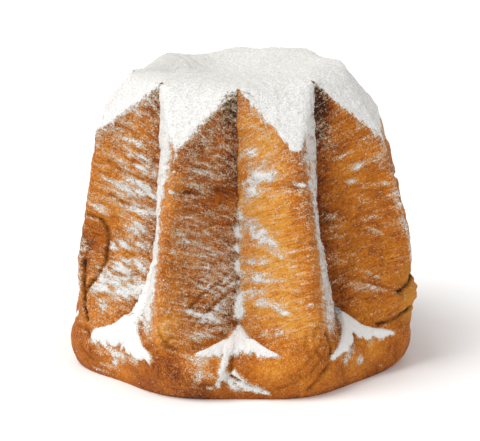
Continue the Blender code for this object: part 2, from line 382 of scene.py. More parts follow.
    def break_height(self, turn: np.ndarray) -> np.ndarray:
        """Finds by halving where the wall meets its facet.

        Args:
            turn: the turns to look at.

        Returns:
            The height of the break at each turn.
        """
        low = np.full_like(turn, self.height / 2)
        high = np.full_like(turn, self.height)
        for _ in range(self.halvings):
            middle = (low + high) / 2
            inside = self.star_radius(turn, middle) < self.facet_radius(turn, middle)
            low = np.where(inside, middle, low)
            high = np.where(inside, high, middle)
        return low


class Zone(IntEnum):
    """The stretches of the outline, from the middle of the underside to the middle of the crown."""

    POLE = 0
    UNDERSIDE = 1
    SIDE = 2
    FACET = 3
    CROWN = 4


@dataclass
class Spots:
    """What is known of each vertex of the bread before the sugar is laid on it, as arrays.

    The edge is how far the spot is above the line where its wall ends, in metres. The share goes from
    0 in a valley to 1 on a ridge.
    """

    zone: np.ndarray
    turn: np.ndarray
    radius: np.ndarray
    height: np.ndarray
    edge: np.ndarray
    share: np.ndarray

    @property
    def level(self) -> np.ndarray:
        """The height in millimetres."""
        return self.height / MM

    @property
    def walled(self) -> np.ndarray:
        """1 on the side, fading to 0 where the facets begin."""
        return (self.zone == Zone.SIDE) * step(0.0, -4.0, self.edge / MM)

    @property
    def half_arm(self) -> np.ndarray:
        """The number of the flank, from 0 on the +X side of the front valley, counted round to 15."""
        return (self.turn / (ARM_TURN / 2)).astype(int) % (2 * ARMS)

    def pick(self, order: np.ndarray) -> "Spots":
        """The same spots in another order, or with some repeated."""
        return Spots(*(values.ravel()[order] for values in vars(self).values()))

    def places(self) -> np.ndarray:
        """Works out where the spots are.

        Returns:
            A point for each spot, as rows.
        """
        across = self.radius * np.sin(self.turn)
        along = -self.radius * np.cos(self.turn)
        return np.stack((across, along, self.height), axis=1)


@dataclass(frozen=True)
class Outline:
    """Draws the bread's outline at every turn at once, as rows from the underside to the crown."""

    star: Star = Star()
    underside_rows: int = 5
    foot_rows: int = 14
    collar_rows: int = 14
    ledge_rows: int = 14
    wall_rows: int = 88
    fillet_rows: int = 6
    facet_rows: int = 20
    crown_rows: int = 26
    # Where the foot's rows end, as a share of its height, and how they crowd towards the table
    foot_share: float = 0.6
    foot_crowding: float = 1.5
    below_ledge: float = 6 * MM
    above_ledge: float = 3 * MM
    tip_fillet: float = 6 * MM
    rim_fillet: float = 13 * MM
    # The most that a fillet may take of the straight stretch beside it
    fillet_share: float = 0.45

    @property
    def rows(self) -> int:
        """The number of rows between the two poles."""
        side = self.foot_rows + self.collar_rows + self.ledge_rows + self.wall_rows
        return self.underside_rows + side + 2 * self.fillet_rows + self.facet_rows + self.crown_rows

    @staticmethod
    def shares(rows: int, ends: int = 0) -> np.ndarray:
        """Shares from 0 up to and not at 1, or with ends = 1 strictly between 0 and 1, as a column."""
        return ((np.arange(rows) + ends) / (rows + ends))[:, None]

    def corner(
        self, before: np.ndarray, corner: np.ndarray, after: np.ndarray, fillet: float
    ) -> np.ndarray:
        """Rounds a corner of the outline.

        Args:
            before: the outline's points before the corner, as (2, turns).
            corner: the sharp corners.
            after: the outline's points after the corner.
            fillet: how far the rounding starts from the corner.

        Returns:
            Points from the side of before to the side of after, as (rows, 2, turns).
        """
        ends = []
        for end in (before, after):
            away = np.linalg.norm(end - corner, axis=0)
            ends.append(corner + (end - corner) / away * np.minimum(fillet, self.fillet_share * away))
        share = np.linspace(0, 1, self.fillet_rows)[:, None, None]
        return mix(mix(ends[0], corner, share), mix(corner, ends[1], share), share)

    def draw(self, turn: np.ndarray) -> Spots:
        """Draws the outline.

        Args:
            turn: the turns of the columns, each from 0 to a full turn.

        Returns:
            Spots in arrays of (rows, columns).
        """
        star = self.star
        ledge = around(star.ledge_heights, turn)
        break_height = star.break_height(turn)
        top = np.minimum(break_height, star.height - star.shortest_facet)
        foot = star.foot_height * self.foot_share
        heights = np.concatenate((
            foot * self.shares(self.foot_rows) ** self.foot_crowding + 0 * turn,
            mix(foot, ledge - self.below_ledge, self.shares(self.collar_rows)),
            mix(ledge - self.below_ledge, ledge + self.above_ledge, self.shares(self.ledge_rows)),
            mix(ledge + self.above_ledge, top - self.tip_fillet, self.shares(self.wall_rows)),
        ))
        side = np.stack((star.side_radius(turn, heights), heights), axis=1)
        underside = side[:1] * self.shares(self.underside_rows, 1)[:, :, None]
        tip = np.stack((star.star_radius(turn, top), top))
        rim_radius = np.minimum(star.facet_radius(turn, star.height), tip[0] - 1 * MM)
        rim = np.stack((rim_radius, star.height + around(star.crown_rim_lifts, turn)))
        middle = np.stack((0 * turn, star.height + 0 * turn))
        tip_fillet = self.corner(side[-1], tip, rim, self.tip_fillet)
        rim_fillet = self.corner(tip, rim, middle, self.rim_fillet)
        facet = mix(tip_fillet[-1], rim_fillet[0], self.shares(self.facet_rows, 1)[:, :, None])
        crown = mix(rim_fillet[-1], middle, self.shares(self.crown_rows, 1)[:, :, None])
        stretches = ((Zone.UNDERSIDE, underside), (Zone.SIDE, side), (Zone.SIDE, tip_fillet),
                     (Zone.FACET, facet), (Zone.FACET, rim_fillet), (Zone.CROWN, crown))
        points = np.concatenate([stretch for _, stretch in stretches])
        zones = np.concatenate([np.full(len(stretch), zone) for zone, stretch in stretches])
        radius, height = points[:, 0], points[:, 1]
        turns = turn + 0 * radius
        share = star.from_valley(turns, np.minimum(height, star.height))
        return Spots(zones[:, None] + 0 * radius, turns, radius, height, height - break_height, share)


# ---------------------------------------------------------------------------------------------------
# The crust's relief
# ---------------------------------------------------------------------------------------------------


@dataclass(frozen=True)
class Mark:
    """A single swell (or, with a negative swell, a dent). Degrees for the turn, and millimetres."""

    turn: float
    height: float
    swell: float
    half_width: float
    half_height: float

    def at(self, spots: Spots) -> np.ndarray:
        """Works out how far the mark lifts the crust.

        Args:
            spots: where on the crust.

        Returns:
            The swell at each spot, in metres.
        """
        away = (aside(spots.turn, self.turn, spots.radius) / self.half_width) ** 2
        away += ((spots.level - self.height) / self.half_height) ** 2
        return self.swell * MM * np.exp(-away)


def line_reach(
    points: tuple[tuple[float, float], ...], half_width: float, spots: Spots
) -> np.ndarray:
    """How near each spot is to a line on the crust.

    Args:
        points: the line's points, as (turn in degrees, height in mm).
        half_width: how far it reaches to either side, in millimetres.
        spots: where on the crust.

    Returns:
        1 on the line and 0 far away from it.
    """
    nearest = np.full(len(spots.turn), np.inf)
    for start, end in zip(points, points[1:]):
        to_x = aside(spots.turn, start[0], spots.radius)
        to_y = spots.level - start[1]
        run_x = aside(math.radians(end[0]), start[0], spots.radius)
        run_y = end[1] - start[1]
        length = np.maximum(run_x * run_x + run_y * run_y, 1e-6)
        along = np.clip((to_x * run_x + to_y * run_y) / length, 0.0, 1.0)
        nearest = np.minimum(nearest, np.hypot(to_x - along * run_x, to_y - along * run_y))
    return hill(nearest, half_width)


@dataclass(frozen=True)
class Crease:
    """A crack or fold line that runs through points of (turn in degrees, height in mm), with the painted
    shade that darkens it.
    """

    points: tuple[tuple[float, float], ...]
    depth: float
    half_width: float
    # How much painted shade darkens the line
    painted_shade: float

    def reach(self, spots: Spots) -> np.ndarray:
        """How near each spot is to the line: 1 on it, and 0 far away."""
        return line_reach(self.points, self.half_width, spots)


MARKS = (
    # The swells and dents of the front
    Mark(-64, 72, 1.6, 12, 25),
    Mark(-52, 102, -1.2, 16, 8),
    Mark(-15, 128, -1.6, 22, 6),
    Mark(12, 126, -1.3, 20, 5),
    Mark(-3, 17, -2.0, 5, 11),
    Mark(-9, 15, 1.2, 9, 9),
    Mark(-58, 18, 1.5, 16, 12),
    Mark(36, 20, -1.2, 7, 14),
    Mark(68, 50, 2.2, 9, 6),
    Mark(69, 64, -2.8, 10, 9),
    Mark(60, 110, -1.2, 18, 8),
    # Those of the sides that face away
    Mark(92, 16, -1.8, 6, 11),
    Mark(113, 76, 2.2, 14, 24),
    Mark(138, 120, -1.4, 22, 6),
    Mark(157, 42, -2.6, 10, 10),
    Mark(172, 124, -1.4, 20, 6),
    Mark(-178, 18, 1.5, 15, 11),
    Mark(-157, 62, 2.2, 14, 25),
    Mark(-136, 15, -1.8, 6, 11),
    Mark(-112, 96, -1.6, 20, 7),
    Mark(-101, 46, 1.6, 14, 12),
)
CREASES = (
    # The loose flap on the left ridge, and the second crack behind it
    Crease(
        ((-66, 99), (-62.5, 97), (-60.5, 91), (-59.6, 84), (-59.4, 70), (-61.2, 60), (-64, 50)),
        1.6, 0.8, 0.7,
    ),
    Crease(((-64.8, 71), (-64.5, 60), (-64.6, 50), (-63.8, 40), (-62.3, 33)), 2.2, 0.8, 1.3),
    # Folds of the collar
    Crease(((-2.4, 25), (-2.6, 15.5)), 2.4, 1.5, 0.55),
    Crease(((-2.8, 16), (-5, 14), (-8.2, 9.5)), 1.3, 1.1, 0.35),
    Crease(((-1.0, 14), (3.4, 9.5), (7.4, 6.2)), 1.8, 1.1, 0.55),
    Crease(((-13.4, 11.4), (-8, 11), (-4, 10.4)), 1.1, 1.0, 0.35),
    Crease(((28.6, 40), (30.2, 30), (29.4, 23), (25.7, 15.8), (21.8, 6.3)), 1.6, 1.2, 0.5),
    Crease(((36, 22), (35, 15), (36, 9)), 0.9, 1.1, 0.25),
    Crease(((-66, 27), (-61, 28), (-59, 24)), 1.3, 1.1, 0.4),
    Crease(((-62, 18), (-59, 13), (-57, 10)), 1.0, 1.1, 0.3),
    Crease(((-26, 44), (-24.5, 37), (-22, 33)), 1.2, 1.2, 0.4),
    Crease(((-22, 39), (-24.5, 34), (-21, 31)), 0.9, 1.0, 0.3),
    # The waist of the front flanks
    Crease(((-22, 127), (-19, 125.6), (-16.5, 123.5)), 1.2, 1.1, 0.5),
    Crease(((-9, 124), (-4, 121.5)), 0.9, 1.3, 0.3),
    Crease(((21.5, 129), (18, 128)), 1.0, 1.1, 0.35),
    # The torn edge on the right ridge
    Crease(((56, 32.5), (60, 34), (63.5, 38), (66, 41)), 1.8, 0.9, 1.2),
    Crease(((62.5, 52), (65, 57), (66.5, 62)), 2.0, 0.9, 1.2),
    Crease(((54, 60), (60, 55), (63, 50)), 0.9, 1.1, 0.3),
    # Wrinkles low on the front ridges, and slanting up the front flanks
    Crease(((24.7, 45), (23.5, 38), (24.5, 30), (27, 24)), 0.8, 0.9, 0.35),
    Crease(((22, 41), (21, 34), (22.5, 26)), 0.7, 0.9, 0.3),
    Crease(((19, 17), (16, 11), (12, 7.5)), 0.8, 0.9, 0.3),
    Crease(((26, 37), (24.4, 30), (20.5, 22), (15.5, 16)), 0.7, 0.8, 0.25),
    Crease(((28, 33), (26, 26), (22.3, 18.5), (17.5, 12)), 0.7, 0.8, 0.3),
    Crease(((28.5, 27), (27, 20), (23.6, 12)), 0.7, 0.8, 0.25),
    Crease(((-17.5, 55), (-13, 63), (-6, 70)), 0.9, 1.1, 0.3),
    Crease(((-16, 45), (-11, 52), (-5, 60)), 0.8, 1.1, 0.25),
    Crease(((-58, 66), (-54, 62), (-50, 63)), 0.9, 1.1, 0.3),
    Crease(((-61, 112), (-56, 106), (-51, 103)), 0.9, 1.1, 0.35),
    Crease(((-62, 132), (-57, 126), (-52, 122)), 0.9, 1.1, 0.35),
    # The same kind of lines on the sides that face away
    Crease(((112, 102), (117, 98), (119, 88), (118, 72), (116, 58)), 2.2, 1.2, 0.8),
    Crease(((92, 27), (91.5, 15), (95, 9)), 2.2, 1.5, 0.5),
    Crease(((130, 122), (138, 119), (145, 121)), 1.1, 1.2, 0.4),
    Crease(((152, 34), (157, 37), (161, 44)), 1.9, 1.2, 0.8),
    Crease(((168, 126), (175, 123), (-179, 121)), 1.1, 1.2, 0.35),
    Crease(((178, 24), (177, 15), (173, 9)), 1.9, 1.4, 0.5),
    Crease(((-152, 92), (-155, 84), (-155.5, 70), (-154, 56), (-152, 40)), 2.3, 1.2, 0.9),
    Crease(((-136, 26), (-136.5, 14)), 2.3, 1.5, 0.5),
    Crease(((-118, 98), (-112, 95), (-107, 96)), 1.2, 1.2, 0.4),
    Crease(((-104, 38), (-99, 33), (-96, 24)), 1.4, 1.2, 0.4),
)


def cracked(spots: Spots) -> np.ndarray:
    """How deep in a crack or a fold line each spot is, from 0 to 1, weighted by each line's painted shade.
    """
    depths = [crease.painted_shade * crease.reach(spots) for crease in CREASES]
    return np.minimum(np.max(depths, axis=0), 1.0)


@dataclass(frozen=True)
class Relief:
    """How far the crust stands proud of, or sinks below, the bread's smooth form."""

    swell_size: float = 45 * MM
    swell_depth: float = 1.6 * MM
    wrinkle_length: float = 38 * MM
    wrinkle_spacing: float = 13 * MM
    wrinkle_depth: float = 0.9 * MM
    flank_width: float = 50 * MM
    layer_slope: float = 0.42
    layer_depth: float = 1.45 * MM
    # The size of each kind of layer: along the flow, across it, and from ridge to ridge
    broad_layers: tuple[float, ...] = (17 * MM, 6 * MM, 0.1)
    folded_layers: tuple[float, ...] = (14 * MM, 5 * MM, 0.1)
    fine_layers: tuple[float, ...] = (7 * MM, 2.6 * MM, 0.1)
    layer_shares: tuple[float, ...] = (0.45, 0.75, 0.35)
    cell_apart: float = 0.73
    crack_swell_size: float = 4 * MM
    crack_raggedness: float = 0.7
    lumps: Waves = ((7 * MM, 3.1, 0.6), (3.2 * MM, 8.3, 0.4))
    lump_depth: float = 0.55 * MM
    coat_lumps: Waves = ((8 * MM, 5.7, 0.5), (3.4 * MM, 2.9, 0.7))
    coat_lump_depth: float = 0.95 * MM
    # Where the crown's coat is rough, how far round there, from which height up, and how much rougher
    rough_place: tuple[float, float] = (-38 * MM, 20 * MM)
    rough_width: float = 22 * MM
    rough_above: float = 165 * MM
    rough_gain: float = 1.3
    crumb_size: float = 3.5 * MM
    crumb_depth: float = 1.6 * MM
    tear_reach: float = 6.0
    # How far the valleys' lines waver, in which waves up the wall, and how far apart they take these
    wobble: float = 1.5 * MM
    wobble_waves: Waves = ((12 * MM, 3.0, 1.0), (5 * MM, 9.0, 0.5))
    valley_apart: float = 7.3
    crown_dish: float = 3.0 * MM
    # Each hollow in the crown: across, along, depth and width, in millimetres
    crown_hollows: tuple[tuple[float, ...], ...] = ((-43, 7, 4.5, 9), (-16, 24, 5.0, 22))
    # Each torn place: its turn in degrees and its height in millimetres
    torn_places: tuple[tuple[float, float], ...] = ((66, 38), (66, 50), (67, 62), (157, 40), (160, 48))

    def coarse(self, spots: Spots, places: np.ndarray, upright: np.ndarray) -> np.ndarray:
        """The relief that the solid has too: slow swells, broad wrinkles and single marks.

        Args:
            spots: where on the crust.
            places: the same as points.
            upright: 1 where the crust is upright, and 0 where it is level.

        Returns:
            How far each spot stands out, in metres.
        """
        swell = noise_at(places / self.swell_size) * self.swell_depth
        turn = np.arctan2(places[:, 0], -places[:, 1])
        along = np.hypot(places[:, 0], places[:, 1]) * turn / self.wrinkle_length
        across = places[:, 2] / self.wrinkle_spacing + 0.25 * np.sin(3 * turn) * along
        wrinkle = noise_at(np.stack((along, across, 0 * turn + 7.0), axis=1)) * self.wrinkle_depth
        marks = sum(mark.at(spots) for mark in MARKS)
        return swell + (wrinkle + marks) * upright

    def flow(self, spots: Spots) -> np.ndarray:
        """Coordinates that follow the dough, which sags from the ridges into the valleys.

        Args:
            spots: where on the crust.

        Returns:
            For each spot, the distance from the valley and the height less the sag, in metres, and a
            third coordinate that sets each ridge's pattern apart from the next one's.
        """
        across = spots.share * self.flank_width
        sagged = spots.height - self.layer_slope * across
        return np.stack((across, sagged, np.floor(spots.turn / ARM_TURN) * self.cell_apart), axis=1)

    def layers(self, spots: Spots) -> np.ndarray:
        """The wrinkles of the walls, which follow the dough's flow.

        Args:
            spots: where on the crust.

        Returns:
            How far each spot stands out, in metres.
        """
        flow = self.flow(spots)
        broad = noise_at(flow / self.broad_layers)
        folded = np.abs(noise_at(flow / self.folded_layers + 40))
        fine = noise_at(flow / self.fine_layers + 80)
        kinds = zip((broad, folded, fine), self.layer_shares, strict=True)
        return sum(kind * share for kind, share in kinds) * self.layer_depth

    def rough(self, places: np.ndarray) -> np.ndarray:
        """How rough and thin the crown's coat is, and so how much painted shade its sugar gets: 1 to the
        left of its middle, and 0 far from there.
        """
        away = np.hypot(places[:, 0] - self.rough_place[0], places[:, 1] - self.rough_place[1])
        return hill(away, self.rough_width) * (places[:, 2] > self.rough_above)

    def grain(self, spots: Spots, places: np.ndarray) -> np.ndarray:
        """The small lumps of the crust, and of the coat of sugar on the facets and the crown.

        Args:
            spots: where on the crust.
            places: the same as points.

        Returns:
            How far each spot stands out, in metres.
        """
        crust = ripples(places, self.lumps) * self.lump_depth
        coat = ripples(places, self.coat_lumps) * (1 + self.rough_gain * self.rough(places))
        return mix(coat * self.coat_lump_depth, crust, spots.walled)

    def torn(self, spots: Spots) -> np.ndarray:
        """How far the crust is torn open and crumbly.

        Args:
            spots: where on the crust.

        Returns:
            A share from 0 to 1 at each spot.
        """
        total = 0.0
        for turn, height in self.torn_places:
            away = np.hypot(aside(spots.turn, turn, spots.radius), spots.level - height)
            total = total + hill(away, self.tear_reach)
        return np.minimum(total, 1.0) * (spots.zone == Zone.SIDE)

    def fine(self, spots: Spots, places: np.ndarray, upright: np.ndarray) -> np.ndarray:
        """The fine relief that only shows here: layers, lumps and cracks.

        Args:
            spots: where on the crust.
            places: the same as points.
            upright: 1 where the crust is upright, and 0 where it is level.

        Returns:
            How far each spot stands out, in metres.
        """
        out = self.layers(spots) * upright * step(20, 45, spots.level)
        cracks = sum(crease.depth * crease.reach(spots) for crease in CREASES) * MM
        out -= cracks * self.ragged(places)
        out += self.torn(spots) * ripple(places, self.crumb_size, 14.0) * self.crumb_depth
        return self.grain(spots, places) + out * spots.walled

    def ragged(self, places: np.ndarray) -> np.ndarray:
        """How much deeper, or less deep, than its mean a crack is at each place."""
        return 1 + self.crack_raggedness * ripple(places, self.crack_swell_size, 51.0)

    def crown_drop(self, places: np.ndarray, apothem: float) -> np.ndarray:
        """How far the crown sinks below its rim: a shallow dish with hollows to one side.

        Args:
            places: points on the crust.
            apothem: how far the rim is from the crown's middle.

        Returns:
            The drop at each point, in metres.
        """
        out = np.minimum(np.hypot(places[:, 0], places[:, 1]) / apothem, 1.0)
        drop = self.crown_dish * (1 - ease(out))
        for across, along, depth, width in self.crown_hollows:
            away = np.hypot(places[:, 0] / MM - across, places[:, 1] / MM - along)
            drop = drop + depth * MM * hill(away, width)
        return drop


# ---------------------------------------------------------------------------------------------------
# The icing sugar
# ---------------------------------------------------------------------------------------------------


@dataclass(frozen=True)
class Drift:
    """One placed patch of sugar, or with a negative weight a bare patch. Degrees and millimetres."""

    turn: float
    height: float
    half_width: float
    half_height: float
    weight: float
    slant: float = 0.0

    def at(self, spots: Spots) -> np.ndarray:
        """Works out the patch's weight. A slant lifts its end towards a greater turn.

        Args:
            spots: where on the crust.

        Returns:
            The weight at each spot.
        """
        out = aside(spots.turn, self.turn, spots.radius)
        above = (spots.level - self.height - self.slant * out) / self.half_height
        distance = (out / self.half_width) ** 2 + above * above
        return self.weight * np.exp(-distance * distance)


FRONT_DRIFTS = (
    # Dabs down the middle valley
    Drift(0.8, 107, 3.0, 5, 0.25),
    Drift(0.8, 90, 3.0, 8, 0.20),
    Drift(0.8, 66, 3.0, 6, 0.20),
    Drift(0.5, 50, 3.5, 7, 0.35),
    # The flank to the right of the middle valley
    Drift(6, 158, 7, 3, 0.16, 0.4),
    Drift(5.5, 146, 7, 4, 0.34, 0.4),
    Drift(10, 138, 9, 4, 0.30, 0.5),
    Drift(7, 129, 7, 3.5, 0.36, 0.4),
    Drift(12, 131.5, 9, 2.6, 0.50, 0.4),
    Drift(4.5, 120, 6, 6, 0.36, 0.2),
    Drift(9, 122.5, 8, 3, 0.26, 0.3),
    Drift(7, 100, 10, 8, 0.40, -0.3),
    Drift(13, 92, 9, 6, 0.32, -0.6),
    Drift(8, 80, 8, 3, 0.34, 0.2),
    Drift(7, 70, 9, 4, 0.46, 0.1),
    Drift(12, 71, 8, 3, 0.36, 0.0),
    Drift(6, 60, 9, 4, 0.44, 0.1),
    Drift(12, 55.5, 10, 2.6, 0.40, 0.1),
    Drift(16.5, 52.5, 5, 1.8, 0.55, -0.3),
    Drift(13, 40, 8, 3, 0.22, 0.3),
    # The flank to the left of the middle valley
    Drift(-17, 100, 12, 12, 0.16),
    Drift(-10, 78, 16, 14, 0.16),
    Drift(-6, 120, 11, 4.5, -0.45),
    Drift(-15, 108, 10, 8, -0.1),
    Drift(-12, 48, 9, 3.0, 0.46, -0.45),
    Drift(-16.5, 53, 5, 2.0, 0.40, -0.5),
    Drift(-7, 54, 9, 4, 0.30, 0.5),
    Drift(-5, 63, 7, 3, 0.34, 0.6),
    Drift(-10, 67, 9, 2.5, 0.26, 0.4),
    Drift(-12, 134, 8, 3, 0.20, -0.2),
    Drift(-13, 38, 9, 3.5, 0.24),
    # The far left flank
    Drift(-56, 146, 8, 3, 0.30, -0.5),
    Drift(-54, 137, 9, 2.6, 0.38, -0.5),
    Drift(-60, 134, 8, 2.2, 0.36, -0.5),
    Drift(-57, 127, 7, 2.2, 0.36, -0.5),
    Drift(-50, 128, 6, 2.6, 0.40, -0.5),
    Drift(-60, 120, 8, 2.2, 0.42, -0.6),
    Drift(-52, 117, 9, 4.5, 0.52, -0.7),
    Drift(-56, 109, 12, 6, 0.32, -0.5),
    Drift(-50, 102, 8, 4, 0.30, -0.6),
    Drift(-57, 96, 8, 6, -0.25, -0.4),
    Drift(-53.5, 93, 7, 6.5, 0.50, -0.6),
    Drift(-63, 104, 5, 2.6, 0.45, -0.8),
    Drift(-52, 81, 9, 4, 0.34, -0.3),
    Drift(-58, 81, 5, 3.5, 0.40, 0.0),
    Drift(-53, 68, 11, 6, 0.55, 0.0),
    Drift(-59.5, 63, 5, 6, 0.22, 0.0),
    Drift(-64, 85, 8, 9, -0.30),
    Drift(-53.5, 57, 13, 7, 0.60, -0.1),
    Drift(-51, 51, 7, 4, 0.30, 0.1),
    Drift(-60, 54, 5, 5, 0.44, 0.6),
    Drift(-58, 44, 4, 5, 0.28, 0.0),
    Drift(-66, 80, 3, 5, 0.40, 0.0),
    Drift(-66.4, 60, 2, 12, 0.40, 0.0),
    # The far right flank: clean, with a few dashes
    Drift(49, 148, 8, 12, 0.22),
    Drift(57, 138, 8, 1.6, 0.52, 0.5),
    Drift(62, 133, 9, 1.8, 0.55, 0.5),
    Drift(59, 129, 4, 1.3, 0.45, 0.5),
    Drift(57, 121, 4, 1.3, 0.45, 0.0),
    Drift(63.5, 119, 7, 1.6, 0.40, 0.0),
    Drift(66, 110, 3, 7, 0.42, 0.0),
    Drift(65.6, 96, 2.2, 7, 0.40, 0.0),
    Drift(60, 90.5, 4.5, 1.3, 0.50, -0.9),
    Drift(60, 99, 4, 1.3, 0.25, 0.0),
    Drift(66.6, 80, 1.6, 14, 0.44, 0.0),
    Drift(50, 98, 5, 5, 0.22, 0.0),
    Drift(50.5, 90, 5, 5, 0.26, 0.0),
    Drift(51, 74, 6, 4, 0.22, 0.0),
    Drift(57, 64, 5, 1.4, 0.50, -0.5),
    Drift(53, 58, 7, 3.5, 0.26, 0.0),
    Drift(56, 54, 9, 3.0, 0.24, -0.3),
    # The collar
    Drift(-13.5, 24.5, 8, 2.4, 0.50, -0.3),
    Drift(-12, 18.5, 8, 2.6, 0.42, -0.3),
    Drift(-13.5, 14, 3, 5, 0.36, 0.5),
    Drift(-6.5, 13, 3.2, 4, 0.70, 1.0),
    Drift(-2.5, 13.5, 6, 2.2, 0.80, -0.1),
    Drift(-1.5, 11.5, 7, 5.5, 0.62, -0.25),
    Drift(5.5, 7.5, 7, 3.0, 0.50, -0.4),
    Drift(3.5, 7.2, 8, 1.8, 0.55, -0.3),
    Drift(-52, 22, 9, 7, 0.50, -0.2),
    Drift(-57, 25, 4, 5, 0.50, 0.0),
    Drift(-44, 17, 8, 5, 0.55, 0.2),
    Drift(-46.5, 11, 3, 4, 0.40, 0.3),
    Drift(-36, 21, 6, 5, 0.50, 0.0),
    Drift(-51, 9, 6, 1.6, 0.38, 0.0),
    Drift(-55, 4, 9, 1.3, 0.34, 0.0),
    Drift(38, 24, 8, 6, 0.50, 0.0),
    Drift(44.5, 16, 3.5, 3.5, 0.62, 0.0),
    Drift(37, 17, 3, 4, 0.30, 0.0),
    Drift(53, 26, 8, 2.2, 0.34, 0.5),
    Drift(55.5, 6.5, 2.5, 1.2, 0.45, 0.0),
)


@dataclass(frozen=True)
class Trail:
    """A line of sugar through points of (turn in degrees, height in mm), with its weight."""

    points: tuple[tuple[float, float], ...]
    half_width: float
    weight: float

    def at(self, spots: Spots) -> np.ndarray:
        """The trail's weight at each spot."""
        return self.weight * line_reach(self.points, self.half_width, spots)


TRAILS = (
    # From the pool in the middle valley down over the collar
    Trail(((-3.2, 30), (-4.3, 28), (-5.0, 24), (-6.0, 19)), 2.2, 1.0),
    Trail(((-1.8, 19), (-5.5, 15), (-9.7, 9.4)), 1.6, 0.6),
    Trail(((-2.2, 18.5), (2.7, 11.2), (9.2, 5.0)), 1.6, 0.6),
    # Dabs down the middle valley
    Trail(((-0.6, 97.5), (-0.2, 94)), 1.6, 1.2),
    Trail(((-0.4, 86.5), (-0.4, 84.5)), 1.3, 1.0),
    Trail(((-0.6, 77), (-0.2, 73)), 1.5, 1.1),
    Trail(((0.2, 55), (-0.2, 46)), 2.2, 1.1),
    # On the lips of the waist's folds
    Trail(((-23.8, 127.0), (-19.8, 127.0)), 0.8, 0.9),
    Trail(((20.8, 130.5), (24, 130.3)), 0.9, 0.9),
    Trail(((8.5, 131), (12, 133.5), (15.5, 136)), 1.5, 0.5),
)


@dataclass(frozen=True)
class Pool:
    """The sugar that gathers where a valley meets its ledge. Degrees and millimetres."""

    valley: int
    left: float
    right: float
    climb: float
    spill: float
    drop: float = 9.0
    point: float = 5.0
    bend: float = 0.5

    def at(self, spots: Spots, ledge: np.ndarray, fray: np.ndarray) -> np.ndarray:
        """The depth of the pool at each spot, from 0 to 1.

        Args:
            spots: where on the crust.
            ledge: the height at which the ledge meets the wall there, in millimetres.
            fray: noise from -1 to 1 that frays the lower edge.

        Returns:
            1 in the middle of the pool and 0 outside it.
        """
        out = np.degrees(aside(spots.turn, self.valley * 45, MM))
        reach = np.abs(out) / np.where(out > 0, self.right, self.left)
        above = spots.level - ledge + self.drop * reach ** self.bend
        top = self.climb * np.maximum(1 - reach * 1.15, 0.0) ** self.point + 2.2 * (1 - reach)
        bottom = -self.spill * (1 - 0.55 * reach) * (1 + 0.45 * fray)
        inside = step(1.2, -1.2, above - top) * step(-2.0, 2.0, above - bottom)
        return inside * step(1.2, 0.85, reach)


POOLS = (
    Pool(0, 15.0, 13.0, 7, 4, 5, 1.7, 1.0),
    Pool(1, 15.0, 14.5, 4, 7, 11.0),
    Pool(2, 12.0, 13.0, 16, 7),
    Pool(3, 13.0, 12.0, 22, 8),
    Pool(4, 12.0, 13.0, 12, 6),
    Pool(5, 13.0, 12.0, 26, 8),
    Pool(6, 12.0, 13.0, 14, 7),
    Pool(7, 12.5, 16.0, 44, 12),
)


